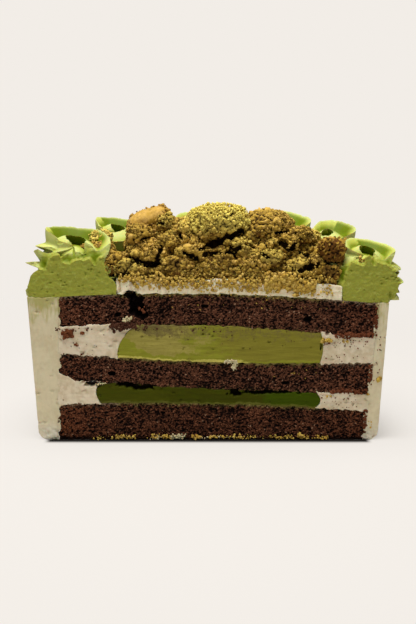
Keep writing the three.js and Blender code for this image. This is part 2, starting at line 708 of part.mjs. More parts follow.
// Loose lumps are pressed into the cream: each keeps its form, and what is round it is cut away.
const behindCut = boxSolid([-120, 0, 0], [120, 120, 160]);
const sockets = LUMPS.map((lump, i) => blob({ ...lump, seed: i + 1, grow: 1.5 * GAP }));
LUMPS.forEach((lump, i) => {
  const clearOf = joined([topCream(1.5 * GAP), ...sockets.slice(0, i)]);
  place(lump.name, blob({ ...lump, seed: i + 1 }).intersect(behindCut).subtract(clearOf), "crumble");
});

const bed = swirlBed();
// Nothing of a swirl stays above a lump pressed into it, so that no thin bridge is left.
const above = (solid) => joined([0, 6, 12, 18].map((lift) => solid.translate(0, 0, lift)));
const besideSwirls = joined([topCream(GAP), ...sockets.map(above)]);
SWIRLS.forEach((swirl, i) => {
  const piped = swirlCoil(swirl).add(bed).intersect(swirlWedge(i)).intersect(behindCut);
  place(`matcha_swirl_${i + 1}`, piped.subtract(besideSwirls), "matcha");
});

const besideHeap = joined([topCream(2.5 * GAP), bed, ...SWIRLS.map(swirlRoom), ...sockets]);
const heap = joined([heapCore(), ...heapPieces()]).intersect(behindCut).subtract(besideHeap);
place("crumble_heap", heap, "crumble", 3 * SHORTEST_EDGE);

// The origin is the middle of the bottom of the box round everything.
const bounds = new THREE.Box3().setFromObject(cake);
const middle = bounds.getCenter(new THREE.Vector3());
cake.position.set(-middle.x, -middle.y, -bounds.min.z);

export default cake;
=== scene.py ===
"""Looks of half a matcha and chocolate layer cake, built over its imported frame.

The cake is drawn in millimetres about the middle of the cut at its base, with the cut in the plane
y = 0 and the cake behind it. Layout carries the drawing into the frame, which is in metres. Every
surface is worked out with numpy as whole arrays, and each piece stands where its solid does.
"""

import sys

import logging
import math
from collections.abc import Callable, Sequence
from dataclasses import dataclass, field
from enum import Enum
from itertools import combinations, product

import bpy
import numpy as np
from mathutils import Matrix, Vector

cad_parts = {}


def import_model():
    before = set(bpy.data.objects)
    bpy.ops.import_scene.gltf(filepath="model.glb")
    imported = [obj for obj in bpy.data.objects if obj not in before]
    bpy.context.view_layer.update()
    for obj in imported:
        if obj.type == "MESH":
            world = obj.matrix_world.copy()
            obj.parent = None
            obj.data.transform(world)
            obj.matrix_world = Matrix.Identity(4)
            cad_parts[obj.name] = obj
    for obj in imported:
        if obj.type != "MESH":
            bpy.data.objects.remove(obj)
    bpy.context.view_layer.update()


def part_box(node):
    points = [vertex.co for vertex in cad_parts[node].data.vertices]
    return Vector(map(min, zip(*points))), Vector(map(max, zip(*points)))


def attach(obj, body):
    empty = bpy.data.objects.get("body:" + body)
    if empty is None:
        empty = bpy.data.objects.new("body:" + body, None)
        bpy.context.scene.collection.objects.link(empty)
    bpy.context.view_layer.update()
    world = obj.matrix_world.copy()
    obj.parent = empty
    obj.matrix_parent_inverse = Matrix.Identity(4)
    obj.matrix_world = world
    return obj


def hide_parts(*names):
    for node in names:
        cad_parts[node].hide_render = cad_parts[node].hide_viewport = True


log = logging.getLogger("cake")
Array = np.ndarray
Colour = tuple[float, float, float]

MM = 0.001

# Driving sizes, as in the part's source
SPONGE_RADIUS = 76.0
STACK_OFFSET = 1.4
STACK_LEAN = 0.055
COAT_RADIUS = 83.9
COAT_FLARE = 0.026
COAT_FOOT_ROUND = 4.5
GAP = 0.01
OVERLAP = 0.45

# Each octave of noise has this share of the last one's height, and the sum is brought back to about 1
OCTAVE_HEIGHT = 0.55
OCTAVE_SUM = 1.6
GOLDEN_STEP = 0.618034


def smooth(low: float, high: float, value: Array | float) -> Array:
    """A share that rises from 0 at low to 1 at high, flat at both ends.

    Args:
        low: the value where the share leaves 0.
        high: the value where it reaches 1.
        value: the values to map.

    Returns:
        Three times the square less twice the cube of the clamped share.
    """
    share = np.clip((np.asarray(value, float) - low) / (high - low), 0, 1)
    return share * share * (3 - 2 * share)


def blend(low: Array | float, high: Array | float, share: Array | float) -> Array:
    """The value at a share of the way from low to high."""
    return low + (high - low) * share


def joined(x: Array | float, y: Array | float, z: Array | float) -> Array:
    """Places from their three coordinates, each spread over the others' shape."""
    return np.stack(np.broadcast_arrays(x, y, z), axis=-1)


# Chance and noise


def lattice(cell: Array, seed: int) -> Array:
    """One number from 0 to 1 for each cell of a lattice.

    Args:
        cell: whole numbers, with the three axes last.
        seed: picks another set of numbers.

    Returns:
        The cell's numbers mixed by multiplying and folding the high bits onto the low ones.
    """
    whole = cell.astype(np.int64).astype(np.uint32)
    offset = np.uint32((seed * 3266489917) & 0xFFFFFFFF)
    mixed = whole[..., 0] * np.uint32(374761393) + whole[..., 1] * np.uint32(668265263)
    mixed = mixed + whole[..., 2] * np.uint32(2246822519) + offset
    mixed = (mixed ^ (mixed >> np.uint32(13))) * np.uint32(1274126177)
    mixed = (mixed ^ (mixed >> np.uint32(16))) * np.uint32(2654435761)
    return (mixed ^ (mixed >> np.uint32(15))) / 4294967296.0


def soft_noise(points: Array, size: float | Sequence[float], seed: int = 0) -> Array:
    """Smooth noise from -1 to 1: random numbers on a lattice, blended between its corners.

    Args:
        points: places, with x, y and z last.
        size: the lattice's cell, one size or one along each axis.
        seed: picks another pattern.

    Returns:
        One number for each place.
    """
    scaled = points / np.asarray(size, float)
    base = np.floor(scaled)
    share = scaled - base
    share = share * share * (3 - 2 * share)
    total = np.zeros(points.shape[:-1])
    for corner in product((0, 1), repeat=3):
        weight = np.prod(np.where(np.array(corner) == 1, share, 1 - share), axis=-1)
        total += weight * lattice(base + corner, seed)
    return 2 * total - 1


def fractal(points: Array, size: float | Sequence[float], seed: int = 0, octaves: int = 4) -> Array:
    """Noise with finer noise on it: each octave has half the cell and 0.55 of the height.

    Args:
        points: places, with x, y and z last.
        size: the largest cell.
        seed: picks another pattern.
        octaves: how many layers of noise are summed.

    Returns:
        One number for each place, mostly between -1 and 1.
    """
    total = np.zeros(points.shape[:-1])
    height = 1.0
    for octave in range(octaves):
        total += height * soft_noise(points, np.asarray(size, float) / 2**octave, seed + 17 * octave)
        height *= OCTAVE_HEIGHT
    return total / OCTAVE_SUM


def grain_cells(points: Array, size: float | Sequence[float], seed: int = 0) -> tuple[Array, Array, Array]:
    """Distances to a scatter of seeds, one in each cell of a lattice.

    Args:
        points: places, with x, y and z last.
        size: the lattice's cell.
        seed: picks another scatter.

    Returns:
        The distance to the nearest seed and to the next, in cells, and a number from 0 to 1 that
        belongs to the nearest seed.
    """
    scaled = points / np.asarray(size, float)
    base = np.floor(scaled)
    nearest = np.full(points.shape[:-1], 9.0)
    second = nearest.copy()
    label = np.zeros(points.shape[:-1])
    for step in product((-1, 0, 1), repeat=3):
        cell = base + step
        place = cell + np.stack([lattice(cell, seed + axis) for axis in range(3)], axis=-1)
        distance = np.linalg.norm(place - scaled, axis=-1)
        closer = distance < nearest
        second = np.where(closer, nearest, np.minimum(second, distance))
        label = np.where(closer, lattice(cell, seed + 3), label)
        nearest = np.minimum(nearest, distance)
    return nearest, second, label


def chances(seed: int) -> Callable[[], float]:
    """The stream of chances that the part's source draws from, so that its lumps fall alike."""
    whole = 0xFFFFFFFF
    state = seed & whole

    def draw() -> float:
        """The next number from 0 to 1."""
        nonlocal state
        state = (state + 0x6D2B79F5) & whole
        mixed = ((state ^ (state >> 15)) * (1 | state)) & whole
        mixed = ((mixed + (((mixed ^ (mixed >> 7)) * (61 | mixed)) & whole)) & whole) ^ mixed
        return (mixed ^ (mixed >> 14)) / 4294967296

    return draw


# Layout and meshes


@dataclass(frozen=True)
class Layout:
    """Where the drawing's zero lies in the frame, in millimetres."""

    x: float
    y: float

    @classmethod
    def from_frame(cls) -> "Layout":
        """The layout, read off the box of the cream on top: its middle is drawn at TopCream.centre."""
        low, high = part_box("cream_top")
        return cls((low.x + high.x) / 2 / MM - TopCream.centre, low.y / MM)

    def metres(self, points: Array) -> Array:
        """Drawing places in the frame's metres."""
        return (np.asarray(points, float) + (self.x, self.y, 0)) * MM


class Shape:
    """A mesh in the making: points in the drawing's millimetres, and faces that share them."""

    def __init__(self) -> None:
        """Starts empty."""
        self.points: list[Array] = []
        self.faces: list[Array] = []
        self.values: dict[str, list[Array]] = {}
        self.count = 0

    def add(self, points: Array, **values: Array) -> Array:
        """Adds points.

        Args:
            points: an array of places, with x, y and z last.
            **values: numbers that go with the points, one array of the same shape for each name.

        Returns:
            The points' numbers, in the same arrangement.
        """
        places = np.asarray(points, float)
        total = int(np.prod(places.shape[:-1]))
        for name in {*values, *self.values}:
            rows = self.values.setdefault(name, [np.zeros(self.count)] if self.count else [])
            rows.append(np.broadcast_to(values.get(name, 0.0), places.shape[:-1]).astype(float).ravel())
        self.points.append(places.reshape(-1, 3))
        numbers = np.arange(self.count, self.count + total).reshape(places.shape[:-1])
        self.count += total
        return numbers

    def skin(self, grid: Array, flip: bool = False) -> None:
        """Covers a grid of point numbers with four-sided faces.

        Args:
            grid: the numbers, in rows and columns.
            flip: turns the faces round. Unflipped, they face along columns crossed with rows.
        """
        corners = [grid[:-1, :-1], grid[:-1, 1:], grid[1:, 1:], grid[1:, :-1]]
        quads = np.stack([c.ravel() for c in corners], axis=1)
        self.faces.append(quads[:, ::-1] if flip else quads)

    def cap(self, loop: Array) -> None:
        """Closes a loop of point numbers with one face."""
        self.faces.append(np.asarray(loop).reshape(1, -1))

    def close_arch(self, side: Array, flip: bool = False) -> None:
        """Closes an arch of point numbers with rungs from its near leg to its far one.

        Args:
            side: the numbers, from one foot over the top to the other.
            flip: turns the faces round.
        """
        half = len(side) // 2
        self.skin(np.stack([side[:half], side[::-1][:half]]), flip)
        if len(side) % 2:
            crown = side[half - 1:half + 2]
            self.cap(crown[::-1] if flip else crown)

    def triangles(self) -> Array:
        """All faces as triangles about each one's first corner."""
        parts = []
        for faces in self.faces:
            for corner in range(1, faces.shape[1] - 1):
                parts.append(faces[:, [0, corner, corner + 1]])
        return np.concatenate(parts)

    def weld(self) -> None:
        """Makes one point of those that coincide, and drops the triangles that this makes flat."""
        points = np.concatenate(self.points)
        rounded = np.round(points / 1e-4).astype(np.int64)
        _, first, renamed = np.unique(rounded, axis=0, return_index=True, return_inverse=True)
        faces = renamed.reshape(-1)[self.triangles()]
        kept = (faces[:, 0] != faces[:, 1]) & (faces[:, 1] != faces[:, 2]) & (faces[:, 2] != faces[:, 0])
        self.values = {name: [np.concatenate(rows)[first]] for name, rows in self.values.items()}
        self.points = [points[first]]
        self.faces = [faces[kept]]
        self.count = len(first)

    def build(self, name: str, layout: Layout) -> bpy.types.Object:
        """Makes the mesh and its object, linked to the scene.

        Args:
            name: the object's name.
            layout: carries the points into the frame.

        Returns:
            The object, at the origin and unturned.
        """
        mesh = bpy.data.meshes.new(name)
        places = layout.metres(np.concatenate(self.points)).astype(np.float32)
        corners = np.concatenate([faces.ravel() for faces in self.faces]).astype(np.int32)
        sizes = np.concatenate([np.full(len(faces), faces.shape[1]) for faces in self.faces])
        mesh.vertices.add(len(places))
        mesh.vertices.foreach_set("co", places.ravel())
        mesh.loops.add(len(corners))
        mesh.loops.foreach_set("vertex_index", corners)
        mesh.polygons.add(len(sizes))
        mesh.polygons.foreach_set("loop_start", (np.cumsum(sizes) - sizes).astype(np.int32))
        mesh.polygons.foreach_set("use_smooth", np.ones(len(sizes), bool))
        mesh.update(calc_edges=True)
        for label, rows in self.values.items():
            set_value(mesh, label, np.concatenate(rows))
        piece = bpy.data.objects.new(name, mesh)
        bpy.context.scene.collection.objects.link(piece)
        return piece


def set_value(mesh: bpy.types.Mesh, name: str, values: Array) -> None:
    """Writes one number for each vertex into a named attribute of a mesh."""
    attribute = mesh.attributes.get(name) or mesh.attributes.new(name, "FLOAT", "POINT")
    attribute.data.foreach_set("value", values.astype(np.float32))


def vertex_numbers(mesh: bpy.types.Mesh, name: str) -> Array:
    """A mesh's "co" or "normal": three numbers for each vertex."""
    numbers = np.zeros(len(mesh.vertices) * 3, np.float32)
    mesh.vertices.foreach_get(name, numbers)
    return numbers.reshape(-1, 3)


def hollowness(mesh: bpy.types.Mesh, rounds: int) -> Array:
    """How far each vertex lies below its surroundings.

    Args:
        mesh: the mesh to measure.
        rounds: how often each place is replaced by the mean of its neighbours, which sets how
            wide the surroundings are.

    Returns:
        The rise along the normal to the averaged place in millimetres, negative on a crest.
    """
    places = vertex_numbers(mesh, "co").astype(float)
    count = len(places)
    edges = np.zeros(len(mesh.edges) * 2, np.int32)
    mesh.edges.foreach_get("vertices", edges)
    one, other = edges.reshape(-1, 2).T
    degree = np.maximum(np.bincount(edges, minlength=count), 1)
    mean = places
    for _ in range(rounds):
        sums = [
            np.bincount(one, mean[other, axis], count) + np.bincount(other, mean[one, axis], count)
            for axis in range(3)
        ]
        mean = np.stack(sums, axis=1) / degree[:, None]
    return ((mean - places) * vertex_numbers(mesh, "normal")).sum(axis=1) / MM


class Join(Enum):
    """How one body is combined with another."""

    ADD = "UNION"
    KEEP_SHARED = "INTERSECT"


def combine(kept: bpy.types.Object, tool: bpy.types.Object, join: Join) -> None:
    """Combines a body with another and keeps the result as plain mesh.

    Args:
        kept: the body that is changed.
        tool: the other body, which is used up.
        join: how they are combined.
    """
    modifier = kept.modifiers.new("join", "BOOLEAN")
    modifier.operation = join.value
    modifier.solver = "MANIFOLD"
    modifier.object = tool
    depsgraph = bpy.context.evaluated_depsgraph_get()
    result = bpy.data.meshes.new_from_object(kept.evaluated_get(depsgraph))
    kept.modifiers.clear()
    kept.data = result
    bpy.data.objects.remove(tool)


# The layers' faces


@dataclass(frozen=True)
class Level:
    """The face between two layers: its mean height, its slope along X, and its bow in the middle."""

    height: float
    tilt: float = 0.0
    bow: float = 0.0
    ragged: float = 0.0
    seed: int = 0

    def at(self, x: Array, y: Array, lift: float = 0.0) -> Array:
        """Height over a point of the plan: mean, slope, bow and a ragged edge of fine noise."""
        out = np.minimum(1, (x * x + y * y) / SPONGE_RADIUS**2)
        flat = self.height + self.tilt * x + self.bow * (1 - out) + lift
        if not self.ragged:
            return flat
        place = joined(x, y, np.zeros(1))
        return flat + self.ragged * fractal(place, 2.4, self.seed, 3)


BASE = Level(0.0)
BOTTOM_TOP = Level(17.6, -0.0225, 1.5, 0.5, 1)
MIDDLE_BASE = Level(27.8, -0.05, -1.0, 0.55, 2)
MIDDLE_TOP = Level(43.3, -0.035, -2.6, 0.5, 3)
TOP_BASE = Level(55.1, -0.034, 3.8, 0.6, 4)
TOP_TOP = Level(71.6, -0.0165, 3.0, 0.45, 5)
TOP_FLAT = Level(TOP_TOP.height, TOP_TOP.tilt, TOP_TOP.bow)


def stack_centre(z: Array) -> Array:
    """Where the leaning stack's axis is at a height."""
    return STACK_OFFSET + STACK_LEAN * z


def coat_radius(angle: Array | float, height: Array | float) -> Array:
    """The coat's outside: its radius at the base, the flare, and two slow waves round it."""
    wave = 0.35 * np.sin(3 * angle + 0.4) + 0.2 * np.sin(7 * angle)
    return COAT_RADIUS + COAT_FLARE * height + wave


def half_slab(
    left: Callable[[Array], Array],
    right: Callable[[Array], Array],
    back: Callable[[Array], Array],
    lower: Callable[[Array, Array], Array],
    upper: Callable[[Array, Array], Array],
    relief: Callable[[Array], Array],
    cell: float = 0.27,
    marks: Callable[[Array], dict[str, Array]] | None = None,
) -> Shape:
    """A layer with a flat front and a half round back, closed all round.

    The front is a grid of x from left to right and height from lower to upper, sunk by relief. The
    back edge is half an ellipse between the same ends. Strips over and under join the two.

    Args:
        left: x of the front's left edge at a share of its height.
        right: x of its right edge.
        back: depth of the middle of the back edge at a share of the height.
        lower: height of the bottom over a point of the plan.
        upper: height of the top.
        relief: how far each place of the front is sunk.
        cell: size of the front's cells.
        marks: more numbers for the places of the front, by name, or None.

    Returns:
        The shape.
    """
    width = float(np.ptp([left(0.5), right(0.5)]))
    tall = float(upper(0.0, 0.0) - lower(0.0, 0.0))
    columns = np.linspace(0, 1, int(width / cell) + 1)[None, :]
    rows = np.linspace(0, 1, max(4, int(tall / cell)) + 1)[:, None]

    def place(share: Array, depth: float) -> Array:
        """Places at a share of the height and of the way back, for each column."""
        x = blend(left(share), right(share), columns)
        arc = np.sqrt(np.maximum(0, 1 - (2 * columns - 1) ** 2))
        y = depth * (back(share) * arc + 0.4)
        z = blend(lower(x, y), upper(x, y), share)
        return joined(x, y, z)

    shape = Shape()
    front = place(rows, 0.0)
    sunk = relief(front)
    front[..., 1] += sunk
    near_top = np.exp(-(1 - rows) * tall / 1.3)
    near_foot = np.exp(-rows * tall / 1.3)
    own = marks(front) if marks else {}
    face = shape.add(front, sunk=sunk, near_top=near_top, near_foot=near_foot, **own)
    depths = np.linspace(0, 1, 6)[1:]
    over = np.concatenate([face[-1:], *[shape.add(place(np.ones((1, 1)), d)) for d in depths]])
    under = np.concatenate([face[:1], *[shape.add(place(np.zeros((1, 1)), d)) for d in depths]])
    middle = shape.add(place(np.linspace(0, 1, 5)[1:-1, None], 1.0))
    wall = np.concatenate([under[-1:], middle, over[-1:]])
    shape.skin(face)
    shape.skin(over)
    shape.skin(under, flip=True)
    shape.skin(wall, flip=True)
    for column, turned in ((0, False), (-1, True)):
        loop = np.concatenate(
            [face[:, column], over[1:, column], wall[:-1, column][::-1], under[1:-1, column][::-1]]
        )
        shape.cap(loop[::-1] if turned else loop)
    return shape


def half_ring(
    place: Callable[[float, Array, Array], Array],
    relief: Callable[[Array], Array],
    across: int,
    up: int,
    steps: int,
    side: Callable[[Array, Array], Array] | None = None,
) -> Shape:
    """A section carried round half a turn, with a fine grid over each of its two cut ends.

    Args:
        place: the place at an angle, a share of the way out and a share of the height.
        relief: how far each place of a cut end is sunk.
        across: cells across the section.
        up: cells up the section.
        steps: sections round the half turn.
        side: changes the places of one section's edge, given with its angles, or None.

    Returns:
        The shape.
    """
    out, rise = np.meshgrid(np.linspace(0, 1, across + 1), np.linspace(0, 1, up + 1))

    def edge(grid: Array) -> Array:
        """The border of a grid, once round from its first corner."""
        return np.concatenate([grid[0, :-1], grid[:-1, -1], grid[-1, :0:-1], grid[:0:-1, 0]])

    shape = Shape()
    ends = []
    for angle in (0.0, math.pi):
        face = place(angle, out, rise)
        face[..., 1] = np.maximum(face[..., 1], 0)
        sunk = relief(face)
        face[..., 1] += sunk
        grid = shape.add(face, sunk=sunk)
        shape.skin(grid, flip=angle > 0)
        ends.append(edge(grid))
    angles = np.linspace(0, math.pi, steps + 1)[1:-1]
    rows = []
    for angle in angles:
        section = place(angle, edge(out), edge(rise))
        rows.append(side(section, edge(rise)) if side else section)
    middle = shape.add(np.stack(rows))
    loops = np.concatenate([ends[0][None], middle, ends[1][None]])
    loops = np.concatenate([loops, loops[:, :1]], axis=1)
    shape.skin(loops, flip=True)
    return shape


# Relief of the cut


def crumb_relief(seed: int) -> Callable[[Array], Array]:
    """The open crumb of a cut sponge.

    Returns:
        Depths from round pores of two sizes, each deepest at its seed, and rough noise between.
    """

    def depth(points: Array) -> Array:
        """Millimetres that each place is sunk."""
        coarse, _, label = grain_cells(points, (1.4, 1.3, 0.92), seed)
        fine, _, fine_label = grain_cells(points, (0.78, 0.75, 0.6), seed + 9)
        big = (0.1 + 0.85 * label**2) * np.maximum(0, 1 - (coarse / 0.58) ** 2)
        small = (0.2 + 0.6 * fine_label) * np.maximum(0, 1 - (fine / 0.6) ** 2)
        rough = 0.35 * fractal(points, 0.85, seed + 20, 2) + 0.2 * fractal(points, 7.0, seed + 30, 3)
        return 0.35 + big + small + rough

    return depth


def knife_relief(
    seed: int, pits: float = 0.12, drag: float = 0.14, along: Sequence[float] = (9.0, 4.0, 1.1)
) -> Callable[[Array], Array]:
    """Cream cut by a knife: long drag marks and a few small pits.

    Args:
        seed: picks another pattern.
        pits: the share of cells that have a pit.
        drag: height of the drag marks in millimetres.
        along: size of the marks along x, y and z.

    Returns:
        Depths from stretched noise, and round pits in some cells.
    """

    def depth(points: Array) -> Array:
        """Millimetres that each place is sunk."""
        marks = drag * fractal(points, along, seed, 4) + 0.16 * fractal(points, 7.0, seed + 5, 3)
        near, _, label = grain_cells(points, (3.4, 3.0, 2.6), seed + 40)
        hole = np.where(label < pits, np.maximum(0, 1 - (near / (0.16 + 1.4 * label)) ** 2), 0)
        return 0.12 + marks + 0.9 * hole

    return depth


@dataclass(frozen=True)
class Hole:
    """A torn place in the cut face: its middle, half sizes and depth."""

    x: float
    z: float
    half_x: float
    half_z: float
    depth: float
    ragged: float = 0.5

    def sink(self, points: Array) -> Array:
        """Depth at each place: full inside an ellipse whose edge is broken up by noise."""
        reach = np.hypot((points[..., 0] - self.x) / self.half_x, (points[..., 2] - self.z) / self.half_z)
        edge = reach + self.ragged * fractal(points, 2.2, 77, 3)
        return self.depth * (1 - smooth(0.72, 1.08, edge))


TORN = (
    Hole(-33.6, 68.4, 3.6, 5.6, 6.5),
    Hole(-37.0, 74.2, 3.0, 2.2, 4.5),
    Hole(-31.0, 64.2, 3.2, 2.2, 4.0),
    Hole(-42.8, 64.3, 1.5, 1.0, 2.2),
    Hole(-1.4, 68.7, 1.6, 0.7, 1.8),
    Hole(47.6, 62.3, 1.8, 1.4, 2.4),
)
SLITS = (
    Hole(29.0, 25.0, 13.5, 0.9, 4.5, 0.7),
    Hole(13.0, 24.6, 3.0, 1.7, 4.5, 0.7),
    Hole(-40.5, 28.9, 4.8, 1.2, 4.0, 0.7),
    Hole(-32.0, 27.6, 6.0, 1.5, 4.0, 0.7),
    Hole(-56.0, 29.1, 3.2, 1.3, 4.0, 0.7),
)
MIDDLE_PITS = (
    Hole(-46.6, 34.6, 1.8, 1.1, 2.4),
    Hole(37.5, 30.0, 1.8, 1.0, 1.8),
    Hole(16.8, 41.4, 2.6, 1.7, 2.6),
)
BOTTOM_PITS = (Hole(-22.1, 14.4, 1.2, 0.9, 1.6),)


def with_holes(relief: Callable[[Array], Array], holes: Sequence[Hole]) -> Callable[[Array], Array]:
    """A relief with torn holes sunk into it."""

    def depth(points: Array) -> Array:
        """Millimetres that each place is sunk."""
        return relief(points) + sum(hole.sink(points) for hole in holes)

    return depth


# Colours of the fillings' cuts


def light_marks(points: Array) -> dict[str, Array]:
    """Where the light filling is paler, browner and rimmed.

    Args:
        points: places on its cut.

    Returns:
        Shares under "pale" at the left over a wedge of green, "brown" at the right, "rim" for a thin
        yellow line along the foot and "dirt" along the top, all with wandering edges.
    """
    x, z = points[..., 0], points[..., 2]
    wander = fractal(points, (10.0, 4.0, 3.2), 410, 5)
    crumbly = fractal(points, 2.0, 415, 4)
    foot = z - MIDDLE_TOP.at(x, 0 * x)
    wedge = 3.0 + 0.5 * np.maximum(0, -27 - x)
    pale = smooth(10, -20, x + 14 * wander) * smooth(-0.9, 1.2, foot - wedge + 1.8 * wander + 1.2 * crumbly)
    brown = smooth(-6, 18, x + 12 * wander) * smooth(0.3, 2.5, foot + 1.5 * wander)
    dirt = smooth(9.5, 14.5, foot + 4.5 * crumbly) * blend(0.4, 0.8, smooth(0, -30, x))
    rim = smooth(1.5, 0.7, foot + 0.9 * wander) * smooth(26, 10, x + 6 * wander)
    return {"pale": pale, "brown": brown, "rim": rim, "dirt": dirt}


def dark_marks(points: Array) -> dict[str, Array]:
    """Where the dark filling is browner, greener and rimmed.

    Args:
        points: places on its cut.

    Returns:
        Shares under "pale" at the left, "brown" for the greener right, "rim" along the foot and
        "dirt" along the top.
    """
    x, z = points[..., 0], points[..., 2]
    wander = fractal(points, (8.0, 4.0, 2.6), 430, 4)
    foot = z - BOTTOM_TOP.at(x, 0 * x)
    return {
        "pale": smooth(0, -34, x + 10 * wander),
        "brown": smooth(10, 42, x + 10 * wander),
        "rim": smooth(1.7, 0.4, foot + 0.9 * wander),
        "dirt": 0.5 * smooth(7, 11, foot + 3 * wander),
    }


# Shader graphs

Socket = bpy.types.NodeSocket
Value = Socket | float
Paint = Socket | Colour


class Graph:
    """A node tree, with a short call for each kind of node that the finishes use."""

    def __init__(self, tree: bpy.types.NodeTree) -> None:
        """Works in the given tree."""
        self.tree = tree

    def node(self, kind: str, **settings: object) -> bpy.types.Node:
        """Adds a node and sets its properties."""
        made = self.tree.nodes.new(kind)
        for name, value in settings.items():
            setattr(made, name, value)
        return made

    def put(self, socket: Socket, value: Value | Paint) -> None:
        """Feeds a socket with a link or a constant."""
        if isinstance(value, bpy.types.NodeSocket):
            self.tree.links.new(value, socket)
        elif isinstance(value, tuple) and len(socket.default_value) == 4:
            socket.default_value = (*value, 1.0)
        else:
            socket.default_value = value

    def math(self, operation: str, one: Value, other: Value = 0.0, third: Value = 0.0) -> Socket:
        """One step of arithmetic."""
        made = self.node("ShaderNodeMath", operation=operation)
        for socket, value in zip(made.inputs, (one, other, third)):
            self.put(socket, value)
        return made.outputs[0]

    def times(self, one: Value, other: Value) -> Socket:
        """The product of two numbers."""
        return self.math("MULTIPLY", one, other)

    def plus(self, one: Value, other: Value) -> Socket:
        """The sum of two numbers."""
        return self.math("ADD", one, other)

    def less(self, one: Value, other: Value) -> Socket:
        """The first number less the second."""
        return self.math("SUBTRACT", one, other)

    def ramp(self, value: Value, low: float, high: float, start: float = 0.0, end: float = 1.0) -> Socket:
        """Maps low to start and high to end, smoothly, and no further."""
        made = self.node("ShaderNodeMapRange", interpolation_type="SMOOTHSTEP")
        for name, number in (("From Min", low), ("From Max", high), ("To Min", start), ("To Max", end)):
            made.inputs[name].default_value = number
        self.put(made.inputs["Value"], value)
        return made.outputs["Result"]

    def mix(self, share: Value, one: Paint, other: Paint) -> Socket:
        """Mixes two colours."""
        made = self.node("ShaderNodeMix", data_type="RGBA", clamp_factor=True)
        self.put(made.inputs["Factor"], share)
        self.put(made.inputs["A"], one)
        self.put(made.inputs["B"], other)
        return made.outputs["Result"]

    def value(self, name: str) -> Socket:
        """A number that the mesh carries at its vertices."""
        return self.node("ShaderNodeAttribute", attribute_name=name).outputs["Fac"]

    def place(self) -> Socket:
        """The place on the object, in metres."""
        return self.node("ShaderNodeTexCoord").outputs["Object"]

    def axes(self) -> tuple[Socket, Socket, Socket]:
        """X, Y and Z of the place on the object."""
        made = self.node("ShaderNodeSeparateXYZ")
        self.put(made.inputs[0], self.place())
        return made.outputs[0], made.outputs[1], made.outputs[2]

    def stretched(self, scale: Sequence[float]) -> Socket:
        """The place on the object, scaled along each axis."""
        made = self.node("ShaderNodeMapping")
        self.put(made.inputs["Vector"], self.place())
        made.inputs["Scale"].default_value = tuple(scale)
        return made.outputs[0]

    def noise(
        self, cell: float, detail: float = 3.0, rough: float = 0.55, where: Socket | None = None
    ) -> Socket:
        """Noise from 0 to 1 whose cells are so many millimetres wide."""
        made = self.node("ShaderNodeTexNoise")
        self.put(made.inputs["Vector"], where or self.place())
        made.inputs["Scale"].default_value = 1 / (cell * MM)
        made.inputs["Detail"].default_value = detail
        made.inputs["Roughness"].default_value = rough
        return made.outputs["Fac"]

    def group(self, made: bpy.types.NodeTree, **inputs: Value | Paint) -> bpy.types.Node:
        """Places a shared group and feeds its inputs."""
        placed = self.node("ShaderNodeGroup", node_tree=made)
        for name, value in inputs.items():
            self.put(placed.inputs[name], value)
        return placed


